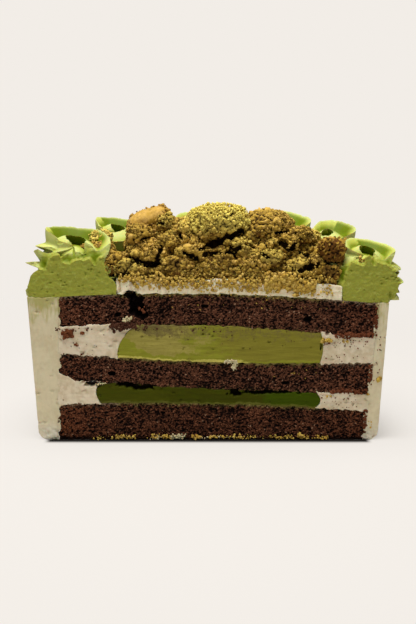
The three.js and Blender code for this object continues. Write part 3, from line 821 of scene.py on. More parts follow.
class Effects:
    """The shader groups that several finishes share, each built once."""

    def __init__(self) -> None:
        """Builds the groups."""
        self.mottle = self.make_mottle()
        self.specks = self.make_specks()
        self.grain = self.make_grain()

    @staticmethod
    def start(
        name: str, inputs: dict[str, float], outputs: Sequence[str]
    ) -> tuple[Graph, bpy.types.Node, bpy.types.Node]:
        """A new group with named number inputs and outputs.

        Args:
            name: the group's name.
            inputs: each input's name and its usual value.
            outputs: the outputs' names.

        Returns:
            The group's graph, its input node and its output node.
        """
        tree = bpy.data.node_groups.new(name, "ShaderNodeTree")
        for label, usual in inputs.items():
            socket = tree.interface.new_socket(label, in_out="INPUT", socket_type="NodeSocketFloat")
            socket.default_value = usual
        for label in outputs:
            tree.interface.new_socket(label, in_out="OUTPUT", socket_type="NodeSocketFloat")
        graph = Graph(tree)
        return graph, graph.node("NodeGroupInput"), graph.node("NodeGroupOutput")

    def make_mottle(self) -> bpy.types.NodeTree:
        """Soft uneven patches: two layers of noise, the finer one at a quarter of the size."""
        graph, given, result = self.start("Mottle", {"Cells per metre": 90.0, "Contrast": 1.0}, ["Mask"])
        wide = graph.node("ShaderNodeTexNoise")
        fine = graph.node("ShaderNodeTexNoise")
        for made, factor in ((wide, 1.0), (fine, 4.0)):
            graph.put(made.inputs["Vector"], graph.place())
            graph.put(made.inputs["Scale"], graph.times(given.outputs["Cells per metre"], factor))
            made.inputs["Detail"].default_value = 3.0
        both = graph.math("MULTIPLY_ADD", fine.outputs["Fac"], 0.4, graph.times(wide.outputs["Fac"], 0.6))
        centred = graph.times(graph.less(both, 0.5), given.outputs["Contrast"])
        graph.put(result.inputs["Mask"], graph.plus(centred, 0.5))
        return graph.tree

    def make_specks(self) -> bpy.types.NodeTree:
        """Small specks: a disc about some of the seeds of a cell pattern."""
        usual = {"Cells per metre": 600.0, "Share": 0.1, "Radius": 0.3}
        graph, given, result = self.start("Specks", usual, ["Mask"])
        cells = graph.node("ShaderNodeTexVoronoi")
        graph.put(cells.inputs["Vector"], graph.place())
        graph.put(cells.inputs["Scale"], given.outputs["Cells per metre"])
        chosen = graph.node("ShaderNodeSeparateColor")
        graph.put(chosen.inputs[0], cells.outputs["Color"])
        picked = graph.math("LESS_THAN", chosen.outputs[0], given.outputs["Share"])
        inside = graph.math("LESS_THAN", cells.outputs["Distance"], given.outputs["Radius"])
        graph.put(result.inputs["Mask"], graph.times(picked, inside))
        return graph.tree

    def make_grain(self) -> bpy.types.NodeTree:
        """Fine roughness for bumps: one noise with much fine detail."""
        graph, given, result = self.start("Fine grain", {"Cells per metre": 1500.0}, ["Height"])
        coarse = graph.node("ShaderNodeTexNoise")
        graph.put(coarse.inputs["Vector"], graph.place())
        graph.put(coarse.inputs["Scale"], given.outputs["Cells per metre"])
        coarse.inputs["Detail"].default_value = 4.0
        coarse.inputs["Roughness"].default_value = 0.7
        graph.put(result.inputs["Height"], coarse.outputs["Fac"])
        return graph.tree

    def patches(self, graph: Graph, cells: float, contrast: float) -> Socket:
        """Soft uneven patches over a finish, so many to the metre."""
        made = graph.group(self.mottle, **{"Cells per metre": cells, "Contrast": contrast})
        return made.outputs["Mask"]

    def dots(self, graph: Graph, cells: float, share: float, radius: float) -> Socket:
        """Specks over a finish: the share of the cells that have one, and its radius in cells."""
        made = graph.group(self.specks, **{"Cells per metre": cells, "Share": share, "Radius": radius})
        return made.outputs["Mask"]

    def roughen(self, graph: Graph, shader: bpy.types.Node, cells: float, distance: float) -> None:
        """Roughens a finish with fine grain that is so many millimetres deep."""
        made = graph.group(self.grain, **{"Cells per metre": cells})
        add_bump(graph, shader, made.outputs["Height"], distance)


def new_material(name: str) -> tuple[bpy.types.Material, Graph, bpy.types.Node]:
    """A material with a plain surface shader.

    Args:
        name: the material's name.

    Returns:
        The material, its graph and its shader node.
    """
    material = bpy.data.materials.new(name)
    material.use_nodes = True
    shader = material.node_tree.nodes["Principled BSDF"]
    return material, Graph(material.node_tree), shader


def add_bump(graph: Graph, shader: bpy.types.Node, height: Socket, distance: float) -> None:
    """Feeds the shader's normal from a height, with its full range a distance in millimetres."""
    bump = graph.node("ShaderNodeBump")
    bump.inputs["Strength"].default_value = 1.0
    bump.inputs["Distance"].default_value = distance * MM
    graph.put(bump.inputs["Height"], height)
    graph.put(shader.inputs["Normal"], bump.outputs[0])


def set_constants(shader: bpy.types.Node, **constants: float) -> None:
    """Sets plain numbers on the shader's own sockets, named with underlines for spaces."""
    for name, number in constants.items():
        shader.inputs[name.replace("_", " ")].default_value = number


@dataclass(frozen=True)
class SpongeFinish:
    """Dark chocolate crumb: painted shade, near black, in its pores and along its foot, paler on its ridges,
    smeared at its edges.
    """

    name: str = "chocolate_sponge"
    crumb: Colour = (0.075, 0.024, 0.011)
    # The pore colour is painted shade: near black for the sunk pores and for the foot of the stack.
    pore_shade: Colour = (0.005, 0.001, 0.0004)
    pale: Colour = (0.37, 0.165, 0.093)
    rusty: Colour = (0.105, 0.027, 0.0095)
    cream: Colour = (0.30, 0.22, 0.14)
    top_smear: Colour = (0.24, 0.20, 0.06)
    speck: Colour = (0.38, 0.24, 0.15)
    smear: float = 1.0
    roughness: float = 0.9

    def make(self, effects: Effects) -> bpy.types.Material:
        """The material: painted shade by how far a place is sunk, specks, smears along the top edge, and a
        painted contact shadow at the foot.
        """
        material, graph, shader = new_material(self.name)
        x, _, z = graph.axes()
        fine = graph.noise(0.5, 3.0, 0.75)
        patches = effects.patches(graph, 260.0, 1.8)
        sunk = graph.value("sunk")
        aside = graph.math("ABSOLUTE", graph.less(x, 0.002))
        ends = graph.ramp(aside, 0.047, 0.052)
        outer = graph.ramp(aside, 0.045, 0.075, 0.0, 0.7)
        colour = graph.mix(outer, self.crumb, self.rusty)
        colour = graph.mix(graph.ramp(fine, 0.46, 0.7), colour, self.pale)
        colour = graph.mix(graph.ramp(patches, 0.35, 0.85, 0.0, 0.5), colour, self.crumb)
        specks = effects.dots(graph, 850.0, 0.06, 0.36)
        colour = graph.mix(graph.times(specks, 0.75), colour, self.speck)
        # Painted shade: the deeper a place of the cut is sunk, the nearer it goes to near black.
        colour = graph.mix(graph.ramp(sunk, 0.3, 0.85), colour, self.pore_shade)
        stain = graph.mix(ends, self.top_smear, self.cream)
        # Painted contact shadow: the lowest 2 mm of the stack go near black.
        foot = graph.times(graph.ramp(z, 0.0022, 0.0006), 0.93)
        edge = graph.plus(graph.value("near_top"), graph.times(graph.value("near_foot"), 0.4))
        ragged = graph.math("MULTIPLY_ADD", graph.less(graph.noise(1.6, 4.0, 0.6), 0.5), 1.6, edge)
        haze = graph.times(graph.ramp(ragged, 0.2, 0.95), graph.ramp(sunk, 1.2, 0.4, 0.15, self.smear))
        colour = graph.mix(haze, colour, stain)
        colour = graph.mix(foot, colour, self.pore_shade)
        graph.put(shader.inputs["Base Color"], colour)
        set_constants(shader, Roughness=self.roughness, Specular_IOR_Level=0.12)
        effects.roughen(graph, shader, 1200.0, 0.5)
        return material


@dataclass(frozen=True)
class CreamFinish:
    """Pale cream, with brown crumb smeared into it here and there, and painted shade where its cut is sunk,
    near black in torn holes.
    """

    name: str
    colour: Colour = (0.765, 0.66, 0.48)
    shade: Colour = (0.61, 0.50, 0.32)
    smear: Colour = (0.30, 0.16, 0.08)
    smears: float = 0.5
    specks: float = 0.03
    speck: Colour = (0.17, 0.055, 0.020)
    # The hole colour is painted shade, near black, for the torn holes.
    hole: Colour = (0.016, 0.010, 0.005)
    roughness: float = 0.5

    def make(self, effects: Effects) -> bpy.types.Material:
        """The material: mottled cream, brown smears where two noises meet, dark specks, and painted shade by
        how far a place is sunk.
        """
        material, graph, shader = new_material(self.name)
        patches = effects.patches(graph, 130.0, 1.5)
        colour = graph.mix(graph.ramp(patches, 0.3, 0.75), self.colour, self.shade)
        dirt = graph.noise(2.4, 5.0, 0.65)
        mask = graph.times(graph.ramp(dirt, 0.58, 0.72), self.smears)
        colour = graph.mix(mask, colour, self.smear)
        dots = effects.dots(graph, 620.0, self.specks, 0.27)
        colour = graph.mix(graph.times(dots, 0.75), colour, self.speck)
        # Painted shade: sunk pits darken toward the shade colour, and deep torn holes go near black.
        colour = graph.mix(graph.ramp(graph.value("sunk"), 0.4, 1.2, 0.0, 0.5), colour, self.shade)
        colour = graph.mix(graph.ramp(graph.value("sunk"), 1.8, 3.2), colour, self.hole)
        graph.put(shader.inputs["Base Color"], colour)
        set_constants(shader, Roughness=self.roughness, Subsurface_Weight=0.15, Subsurface_Scale=0.002)
        effects.roughen(graph, shader, 900.0, 0.12)
        return material


@dataclass(frozen=True)
class CoatFinish:
    """The outside cream, stained green under the swirls and whiter at its foot."""

    colour: Colour = (0.68, 0.60, 0.395)
    stain: Colour = (0.355, 0.33, 0.060)
    foot: Colour = (0.75, 0.69, 0.53)
    shade: Colour = (0.585, 0.50, 0.31)
    speck: Colour = (0.16, 0.07, 0.025)
    roughness: float = 0.5

    def make(self, effects: Effects) -> bpy.types.Material:
        """The material: cream, a green stain that fades down from the top, and a whiter foot."""
        material, graph, shader = new_material("cream_coat")
        x, _, z = graph.axes()
        patches = effects.patches(graph, 110.0, 1.4)
        colour = graph.mix(graph.ramp(patches, 0.3, 0.8), self.colour, self.shade)
        wander = graph.times(graph.less(graph.noise(9.0, 3.0), 0.5), 0.018)
        streaks = graph.less(graph.noise(1.8, 3.0, 0.6, graph.stretched((1.0, 1.0, 0.22))), 0.5)
        high = graph.math("MULTIPLY_ADD", streaks, 0.032, graph.plus(z, wander))
        stained = graph.ramp(high, 0.060, 0.0725)
        colour = graph.mix(graph.times(stained, 0.8), colour, self.stain)
        low = graph.plus(z, graph.times(wander, 0.7))
        colour = graph.mix(graph.ramp(low, 0.012, 0.0), colour, self.foot)
        dots = effects.dots(graph, 420.0, 0.035, 0.25)
        right = graph.ramp(x, 0.0, 0.06, 0.15, 0.9)
        colour = graph.mix(graph.times(dots, right), colour, self.speck)
        graph.put(shader.inputs["Base Color"], colour)
        set_constants(shader, Roughness=self.roughness, Subsurface_Weight=0.15, Subsurface_Scale=0.002)
        add_bump(graph, shader, graph.noise(1.6, 4.0, 0.6, graph.stretched((1.0, 1.0, 0.4))), 0.22)
        return material


@dataclass(frozen=True)
class FillingFinish:
    """Matcha filling: a green ground, with the paler and browner places that the mesh carries."""

    name: str
    ground: Colour
    pale: Colour
    brown: Colour
    rim: Colour
    dots: Colour
    dirt: Colour
    dot_share: float = 0.04
    # The hole colour is painted shade, near black, for the torn slits and pits.
    hole: Colour = (0.012, 0.010, 0.002)
    roughness: float = 0.5

    def make(self, effects: Effects) -> bpy.types.Material:
        """The material: streaky marks over the ground, a rim at the foot, specks, and painted shade, near
        black, in its holes.
        """
        material, graph, shader = new_material(self.name)
        fine = effects.patches(graph, 420.0, 1.6)
        streaks = graph.noise(2.6, 5.0, 0.65, graph.stretched((0.35, 1.0, 1.4)))
        patches = effects.patches(graph, 230.0, 1.5)
        colour = self.ground
        for name in ("pale", "brown", "rim", "dirt"):
            broken = graph.math("MULTIPLY_ADD", graph.less(fine, 0.5), 1.3, graph.value(name))
            colour = graph.mix(graph.times(graph.ramp(broken, 0.15, 0.9), 0.95), colour, getattr(self, name))
        colour = graph.mix(graph.ramp(patches, 0.45, 0.9, 0.0, 0.45), colour, self.brown)
        colour = graph.mix(graph.ramp(patches, 0.4, 0.05, 0.0, 0.22), colour, self.pale)
        colour = graph.mix(graph.ramp(streaks, 0.62, 0.38, 0.0, 0.2), colour, self.dots)
        dots = effects.dots(graph, 520.0, self.dot_share, 0.3)
        colour = graph.mix(graph.times(dots, 0.75), colour, self.dots)
        # Painted shade: the deeper a place is sunk, the nearer it goes to near black.
        colour = graph.mix(graph.ramp(graph.value("sunk"), 0.9, 2.5), colour, self.hole)
        graph.put(shader.inputs["Base Color"], colour)
        set_constants(shader, Roughness=self.roughness, Specular_IOR_Level=0.03)
        add_bump(graph, shader, streaks, 0.3)
        return material


@dataclass(frozen=True)
class SwirlFinish:
    """Piped matcha cream: a painted highlight where it is thin or faces up, painted shade, deep green, down
    in the valleys and in the coil's hollow.
    """

    name: str = "matcha_cream"
    colour: Colour = (0.41, 0.44, 0.066)
    # The valley colour is painted shade, the crest colour a painted highlight, and the deep colour painted
    # shade that is partly the denser green of thick cream.
    valley: Colour = (0.145, 0.182, 0.002)
    crest: Colour = (0.50, 0.53, 0.165)
    deep: Colour = (0.115, 0.158, 0.0008)
    cut: Colour = (0.30, 0.315, 0.042)
    scraped: Colour = (0.45, 0.475, 0.115)
    roughness: float = 0.52

    def make(self, effects: Effects) -> bpy.types.Material:
        """The material: painted shade and painted highlight by how hollow a place is, painted shade in the
        coil's hollow, and a duller, pitted cut.
        """
        material, graph, shader = new_material(self.name)
        hollow = graph.value("hollow")
        # Painted shade in the valleys and a painted highlight on the crests, by how hollow a place is.
        colour = graph.mix(graph.ramp(hollow, -0.1, 0.8), self.colour, self.valley)
        colour = graph.mix(graph.ramp(hollow, -0.1, -1.1), colour, self.crest)
        colour = graph.mix(graph.value("bowl_tone_and_shade"), colour, self.deep)
        patches = effects.patches(graph, 420.0, 1.8)
        cut = graph.mix(graph.ramp(patches, 0.5, 0.9, 0.0, 0.6), self.cut, self.scraped)
        # Painted shade in the hollows of the cut.
        cut = graph.mix(graph.ramp(hollow, 0.05, 0.5, 0.0, 0.6), cut, self.valley)
        colour = graph.mix(graph.value("cut"), colour, cut)
        graph.put(shader.inputs["Base Color"], colour)
        set_constants(shader, Roughness=self.roughness, Subsurface_Weight=0.12, Subsurface_Scale=0.002)
        set_constants(shader, Specular_IOR_Level=0.1)
        effects.roughen(graph, shader, 700.0, 0.08)
        return material


@dataclass(frozen=True)
class CrumbleFinish:
    """Baked crumble: golden grains, browner ones, matcha dusted over them, and painted shade, near black, in
    hollows and crevices.
    """

    name: str = "crumble"
    golden: Colour = (0.41, 0.24, 0.030)
    brown: Colour = (0.115, 0.046, 0.006)
    pale: Colour = (0.58, 0.355, 0.090)
    # The deep colour is painted shade, near black.
    deep: Colour = (0.012, 0.004, 0.0005)
    dust: Colour = (0.87, 0.73, 0.155)
    roughness: float = 0.85

    def make(self, effects: Effects) -> bpy.types.Material:
        """The material: each grain's own tint, its share of dust, and painted shade, near black, in hollows
        and crevices.
        """
        material, graph, shader = new_material(self.name)
        tint = graph.value("tint")
        fine = effects.patches(graph, 700.0, 1.5)
        tone = graph.math("MULTIPLY_ADD", graph.less(fine, 0.5), 0.5, tint)
        colour = graph.mix(graph.ramp(tone, 0.1, 0.55), self.brown, self.golden)
        colour = graph.mix(graph.ramp(tone, 0.55, 1.0), colour, self.pale)
        powder = graph.times(graph.value("dust"), graph.ramp(fine, 0.2, 0.6, 0.35, 1.0))
        colour = graph.mix(powder, colour, self.dust)
        # Painted shade: hollows and crevices go near black.
        sunk = graph.math("MULTIPLY_ADD", graph.value("shade"), 0.6, graph.value("hollow"))
        colour = graph.mix(graph.ramp(sunk, -0.1, 0.32, 0.0, 0.95), colour, self.deep)
        graph.put(shader.inputs["Base Color"], colour)
        set_constants(shader, Roughness=self.roughness, Specular_IOR_Level=0.12)
        effects.roughen(graph, shader, 1800.0, 0.3)
        return material


# Dressing


class Slot(Enum):
    """The record's material slots."""

    SPONGE = "sponge"
    CREAM = "cream"
    COAT = "coat"
    LIGHT = "filling_light"
    DARK = "filling_dark"
    MATCHA = "matcha_cream"
    CRUMBLE = "crumble"


@dataclass
class Kitchen:
    """What every part of the cake needs: where things are, and the finishes."""

    layout: Layout
    effects: Effects
    made: int = 0
    finishes: dict[str, bpy.types.Material] = field(default_factory=dict)

    def finish(self, finish: "Finish") -> bpy.types.Material:
        """The material of a finish, made the first time that it is asked for."""
        key = repr(finish)
        if key not in self.finishes:
            self.finishes[key] = finish.make(self.effects)
        return self.finishes[key]

    def serve(self, piece: bpy.types.Object, finish: "Finish", slot: Slot, nodes: Sequence[str] = ()) -> None:
        """Gives a piece its finish and its place in the frame.

        Args:
            piece: the finished object.
            finish: what it is made of.
            slot: the record's slot that it belongs to; not used.
            nodes: the frame's nodes that it stands for.
        """
        piece.data.materials.clear()
        piece.data.materials.append(self.finish(finish))
        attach(piece, "root")
        if nodes:
            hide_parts(*nodes)
        self.made += 1
        piece.data.calc_loop_triangles()
        log.info("%s: %d triangles", piece.name, len(piece.data.loop_triangles))


Finish = SpongeFinish | CreamFinish | CoatFinish | FillingFinish | SwirlFinish | CrumbleFinish


@dataclass(frozen=True)
class SpongeLayer:
    """One chocolate sponge between two levels."""

    name: str
    lower: Level
    upper: Level
    seed: int
    holes: tuple[Hole, ...] = ()
    finish: SpongeFinish = SpongeFinish()

    def build(self, kitchen: Kitchen) -> None:
        """Makes the layer: a half disc about the leaning axis, with its crumb on the cut."""

        def centre(share: Array) -> Array:
            """The axis at a share of the height."""
            return stack_centre(blend(self.lower.height, self.upper.height, share))

        shape = half_slab(
            left=lambda share: centre(share) - SPONGE_RADIUS,
            right=lambda share: centre(share) + SPONGE_RADIUS,
            back=lambda share: SPONGE_RADIUS + 0 * share,
            lower=lambda x, y: self.lower.at(x, y, GAP if self.lower.height else 0.0),
            upper=lambda x, y: self.upper.at(x, y, -GAP),
            relief=with_holes(crumb_relief(self.seed), self.holes),
        )
        piece = shape.build(f"{self.name}_crumb", kitchen.layout)
        kitchen.serve(piece, self.finish, Slot.SPONGE, [self.name])


@dataclass(frozen=True)
class Filling:
    """A matcha filling, and the ring of pale cream that holds it in."""

    name: str
    ring_name: str
    lower: Level
    upper: Level
    centre: float
    radius: float
    bulge: float
    left_foot: float
    left_top: float
    finish: FillingFinish
    ring_finish: CreamFinish
    slot: Slot
    seed: int
    marks: Callable[[Array], dict[str, Array]]
    holes: tuple[Hole, ...] = ()
    left_rise: float = 0.0
    rise_from: float = -62.0
    rise_over: float = 11.0
    smear_depth: float = 3.0
    cell: float = 0.35

    def reach(self, angle: Array | float, share: Array | float) -> Array:
        """Radius of the filling: bulging at mid height, drawn in at its left end."""
        bulge = self.bulge * (1 - (2 * share - 1) ** 2)
        left = ((1 - np.cos(angle)) / 2) ** 3
        drawn = left * blend(self.left_foot, self.left_top, share**1.5)
        return self.radius + bulge - drawn + 0.5 * np.sin(4 * angle + self.centre)

    def build(self, kitchen: Kitchen) -> None:
        """Makes the filling and its ring."""
        shape = half_slab(
            left=lambda share: self.centre - self.reach(math.pi, share),
            right=lambda share: self.centre + self.reach(0.0, share),
            back=lambda share: self.reach(math.pi / 2, share),
            lower=lambda x, y: self.lower.at(x, y, GAP),
            upper=lambda x, y: self.upper.at(x, y, -GAP),
            relief=with_holes(knife_relief(self.seed, 0.16, 0.2), self.holes),
            cell=self.cell,
            marks=self.marks,
        )
        kitchen.serve(shape.build(f"{self.name}_cream", kitchen.layout), self.finish, self.slot, [self.name])

        def place(angle: float, out: Array, rise: Array) -> Array:
            """A place in the ring, from the filling's edge out to the stack's, smeared at the cut."""
            height = blend(self.lower.height, self.upper.height, rise)
            inner = self.reach(angle, rise) + GAP
            near_x = self.centre + inner * np.cos(angle)
            far_x = stack_centre(height) + (SPONGE_RADIUS - GAP) * np.cos(angle)
            x = blend(near_x, far_x, out)
            y = np.maximum(0, blend(inner, SPONGE_RADIUS - GAP, out) * np.sin(angle))
            edge = joined(x, 0 * x, 30.0 * (rise > 0.5))
            at_cut = 1 - smooth(0, self.smear_depth, y)
            smear = at_cut * OVERLAP * (1 + 1.5 * fractal(edge, 1.5, self.seed, 4))
            share = np.clip((self.rise_from - x) / self.rise_over, 0, 1)
            above = smear + self.left_rise * share**2 * at_cut
            z = blend(self.lower.at(x, y, GAP) - smear, self.upper.at(x, y, -GAP) + above, rise)
            return joined(x, y, z)

        tall = self.upper.height - self.lower.height
        relief = with_holes(knife_relief(self.seed + 3, 0.3), self.holes)
        ring = half_ring(place, relief, across=56, up=int(tall / self.cell), steps=40)
        piece = ring.build(f"{self.ring_name}_cream", kitchen.layout)
        kitchen.serve(piece, self.ring_finish, Slot.CREAM, [self.ring_name])


@dataclass(frozen=True)
class Coat:
    """The cream round the outside."""

    seed: int = 60

    def place(self, angle: float, out: Array, rise: Array) -> Array:
        """A place in the coat, from the stack's edge out to its own, rounded at the foot."""
        height = rise * TOP_TOP.height
        low = np.clip(height / COAT_FOOT_ROUND, 0, 1)
        drawn_in = COAT_FOOT_ROUND * (1 - np.sqrt(np.maximum(0, 1 - (1 - low) ** 2)))
        radius = coat_radius(angle, height) - drawn_in
        at_cut = 1 - smooth(0, 0.04, math.sin(angle))
        edge = joined(50 * np.cos(angle), 0.0, height)
        inner = SPONGE_RADIUS + GAP - at_cut * (0.9 + 1.3 * fractal(edge, 1.9, self.seed + 8, 4))
        x = blend(stack_centre(height) + inner * np.cos(angle), radius * np.cos(angle), out)
        y = np.maximum(0, blend(inner, radius, out) * np.sin(angle))
        z = rise * TOP_TOP.at(x, y, -GAP)
        return joined(x, y, z)

    def roughen(self, section: Array, rise: Array) -> Array:
        """Spatula marks: noise in long level bands moves the outer wall in and out."""
        far = np.hypot(section[..., 0], section[..., 1])
        outer = smooth(79.5, 81.5, far) * smooth(0, 0.03, rise)
        bands = 0.35 * fractal(section, (26.0, 26.0, 5.0), self.seed, 4)
        bands = bands + 0.12 * fractal(section, 2.2, self.seed, 3)
        direction = section * (1, 1, 0) / np.maximum(far, 1)[..., None]
        return section + direction * (outer * bands)[..., None]

    def build(self, kitchen: Kitchen) -> None:
        """Makes the coat."""
        relief = knife_relief(self.seed, 0.25, 0.16, (1.5, 4.0, 7.0))

        def ragged(points: Array) -> Array:
            """The knife's marks, rougher near the foot."""
            return relief(points) + 0.9 * smooth(9, 4, points[..., 2]) * np.abs(fractal(points, 1.8, 66, 3))

        ring = half_ring(self.place, ragged, 30, 150, 130, self.roughen)
        kitchen.serve(ring.build("cream_coat_side", kitchen.layout), CoatFinish(), Slot.COAT, ["cream_coat"])


@dataclass(frozen=True)
class TopCream:
    """The thin layer of white cream under the crumble."""

    radius_x: float = 53.4
    radius_y: float = 43.0
    thickness: float = 6.4
    centre: float = 10.0
    seed: int = 80

    @staticmethod
    def height(x: Array, y: Array) -> Array:
        """The top of the cream: its level, its thickness and a wave along x."""
        return TOP_FLAT.at(x, y) + TopCream.thickness + 1.1 * np.sin(0.13 * x + 0.6)

    def torn(self, points: Array) -> Array:
        """Depth of the cut: the knife's marks, and upright tears that are deepest at the left."""
        tears = np.maximum(0, fractal(points, (1.3, 4.0, 4.5), 84, 4) + 0.1)
        deepest = blend(0.6, 2.8, smooth(-24, -38, points[..., 0]))
        return knife_relief(self.seed, 0.3, 0.3)(points) + tears * deepest

    def build(self, kitchen: Kitchen) -> None:
        """Makes the layer."""

        def upper(x: Array, y: Array) -> Array:
            """A rough top, as cream has between crumbs."""
            place = joined(x, y, np.zeros(1))
            return self.height(x, y) + 0.5 * fractal(place, 4.0, self.seed, 4) - 0.4

        shape = half_slab(
            left=lambda share: self.centre - self.radius_x + 0 * share,
            right=lambda share: self.centre + self.radius_x + 0 * share,
            back=lambda share: self.radius_y + 0 * share,
            lower=lambda x, y: TOP_TOP.at(x, y, GAP),
            upper=upper,
            relief=with_holes(self.torn, TORN[1:2]),
            cell=0.4,
        )
        finish = CreamFinish(
            "cream_under_crumble", (0.94, 0.85, 0.62), (0.80, 0.69, 0.45), (0.45, 0.27, 0.07), smears=0.35
        )
        kitchen.serve(shape.build("cream_top_layer", kitchen.layout), finish, Slot.CREAM, ["cream_top"])


# Piped swirls


@dataclass(frozen=True)
class Nozzle:
    """The star nozzle and the hand's motion, which all the swirls share."""

    turns: int = 2
    started: float = 0.25
    teeth: int = 3
    valley: float = 0.46
    groove: float = 0.62
    sharpness: float = 1.2
    spread: float = 0.82
    lift: float = 0.6
    curl: float = 0.8
    bed: float = 4.5
    steps_per_turn: int = 110
    points: int = 84


NOZZLE = Nozzle()


@dataclass(frozen=True)
class Swirl:
    """One piped swirl: a string of cream that winds in and up round an upright axis."""

    x: float
    y: float
    coil: float
    tube: float
    rise: float
    narrows: float
    start: float

    def string(self, turns: Array) -> tuple[Array, Array, Array]:
        """The string's middle after some turns.

        Args:
            turns: turns from the start.

        Returns:
            The distance from the axis, the height over the foot, and the string's thickness.
        """
        share = np.clip(turns / NOZZLE.turns, 0, 1)
        started = smooth(0, NOZZLE.started, turns)
        curled = smooth(NOZZLE.curl, 1, share)
        out = self.coil * (1 - self.narrows * share) * (1 - curled) + 0.3 * self.coil * (1 - started)
        up = NOZZLE.lift * self.tube * started + self.rise * share**1.15 - 2 * curled
        thick = self.tube * started * (1 - self.narrows * share**1.3) * (1 - 0.96 * curled)
        return out, up, thick

    def grooves(self, turns: Array) -> tuple[Array, Array]:
        """Where each turn meets the next: the outer crossing of the two strings' circles.

        Args:
            turns: turns from the start. Up to one turn the groove is the foot, and past the last
                one it is the bottom of the hollow.

        Returns:
            The distance from the axis and the height over the foot.
        """
        low_out, low_up, low_thick = self.string(np.maximum(turns - 1, 0))
        top_out, top_up, top_thick = self.string(turns)
        low, top = NOZZLE.groove * low_thick, NOZZLE.groove * top_thick
        apart = np.maximum(np.hypot(top_out - low_out, top_up - low_up), 1e-6)
        to_out, to_up = (top_out - low_out) / apart, (top_up - low_up) / apart
        along = np.clip((low**2 - top**2 + apart**2) / (2 * apart), 0, low)
        aside = np.sqrt(np.maximum(0, low**2 - along**2))
        out = low_out + along * to_out + aside * to_up
        up = low_up + along * to_up - aside * to_out
        foot_out, _, foot_thick = self.string(np.mod(np.minimum(turns, 1), 1))
        out = np.where(turns <= 1, foot_out + NOZZLE.spread * foot_thick, out)
        up = np.where(turns <= 1, 0, up)
        _, hollow_up, _ = self.string(np.array(NOZZLE.curl * NOZZLE.turns))
        last = turns >= NOZZLE.turns
        return np.where(last, 0, out), np.where(last, hollow_up + 1.5, up)

    def bowl_tone_and_shade_share(self, places: Array) -> Array:
        """How deep in the coil's hollow each place lies: the share of painted shade, partly the denser green
        of thick cream, on its inner wall.

        Args:
            places: places, with x, y and z last.

        Returns:
            A share that grows from the middle of the uppermost full turn inward and down its wall.
        """
        x, y = places[:, 0] - self.x, places[:, 1] - self.y
        turn = np.mod((np.arctan2(y, x) - math.radians(self.start)) / (2 * math.pi), 1)
        last = (NOZZLE.turns - 1 + turn) / NOZZLE.turns
        out, up, thick = self.string(NOZZLE.turns - 1 + turn - (last > NOZZLE.curl))
        inward = (out - np.hypot(x, y)) / thick
        over = (places[:, 2] - float(self.foot(np.array(self.x), np.array(self.y))) - up) / thick
        far = smooth(-0.3, 0.4, y / out)
        walled = blend(smooth(0.6, 0.2, over), 1.0, far)
        return smooth(-0.5, -0.25, inward) * smooth(0.98, 0.86, over) * walled

    def foot(self, x: Array, y: Array) -> Array:
        """The coil stands on the stack, a little way up in the flat cream."""
        return TOP_FLAT.at(x, y) + 0.9

    def coil_shape(self) -> Shape:
        """The coil: the showing part of the string's star section, carried along the winding.

        Returns:
            A closed shape, whose turns share the points of the groove between them.
        """
        count = NOZZLE.steps_per_turn * NOZZLE.turns
        turns = np.arange(count + 1)[:, None] / NOZZLE.steps_per_turn
        out, up, thick = self.string(turns)
        below_out, below_up = self.grooves(turns)
        above_out, above_up = self.grooves(turns + 1)
        share = np.linspace(0, 1, NOZZLE.points + 1)[None, :]
        below = np.arctan2(below_up - up, below_out - out)
        above = np.arctan2(above_up - up, above_out - out)
        tooth = (1 - np.abs(np.cos(math.pi * NOZZLE.teeth * share))) ** NOZZLE.sharpness
        reach = (1 - 0.16 * (2 * share - 1) ** 2) * (NOZZLE.valley + (1 - NOZZLE.valley) * tooth)
        wobble = joined(turns * 60, share * 9, np.full((1, 1), self.x))
        torn = 1 + 0.05 * fractal(wobble, (2.0, 5.0, 9.0), 5, 3)
        torn = torn + 0.03 * tooth * fractal(wobble, (0.5, 3.0, 9.0), 6, 2)
        reach = reach * thick * torn
        near_low = 1 - smooth(0, 0.08, share)
        near_top = smooth(0.92, 1, share)
        reach = reach * (1 - near_low) * (1 - near_top)
        reach = reach + near_low * np.hypot(below_out - out, below_up - up)
        reach = reach + near_top * np.hypot(above_out - out, above_up - up)
        bearing = blend(below, above, share)
        radial = out + reach * np.cos(bearing)
        level = up + reach * np.sin(bearing)
        for column, (edge_out, edge_up) in ((0, (below_out, below_up)), (-1, (above_out, above_up))):
            radial[:, column] = edge_out[:, 0]
            level[:, column] = edge_up[:, 0]
        for row, column in ((0, 0), (-1, -1)):
            radial[row] = radial[row, column]
            level[row] = level[row, column]
        radial = np.where(radial > 1e-9, np.maximum(radial, 0.6), 0)
        angle = math.radians(self.start) + turns * 2 * math.pi
        x = self.x + radial * np.cos(angle)
        y = self.y + radial * np.sin(angle)
        base = float(self.foot(np.array(self.x), np.array(self.y)))
        z = np.where(level == 0, self.foot(x, y), base + np.maximum(0.4, level))
        shape = Shape()
        grid = shape.add(np.stack([x, y, z], axis=-1))
        hub = shape.add(np.array([self.x, self.y, base]))
        shape.skin(grid.T)
        rim = grid[: NOZZLE.steps_per_turn + 1, 0]
        fan = np.stack([np.full(len(rim) - 1, hub), rim[1:], rim[:-1]], axis=1)
        shape.faces.append(fan)
        shape.weld()
        return shape


SWIRLS = (
    Swirl(-64.0, 8.0, 12.6, 11.4, 17.0, 0.12, 290.0),
    Swirl(-48.0, 43.5, 11.8, 11.4, 18.0, 0.25, 275.0),
    Swirl(-11.0, 64.0, 11.8, 11.4, 18.0, 0.25, 230.0),
    Swirl(38.0, 54.0, 11.8, 11.4, 20.0, 0.12, 215.0),
    Swirl(58.5, 33.5, 11.8, 11.2, 18.5, 0.1, 200.0),
    Swirl(74.2, 7.5, 10.2, 9.3, 17.0, 0.1, 240.0),
)


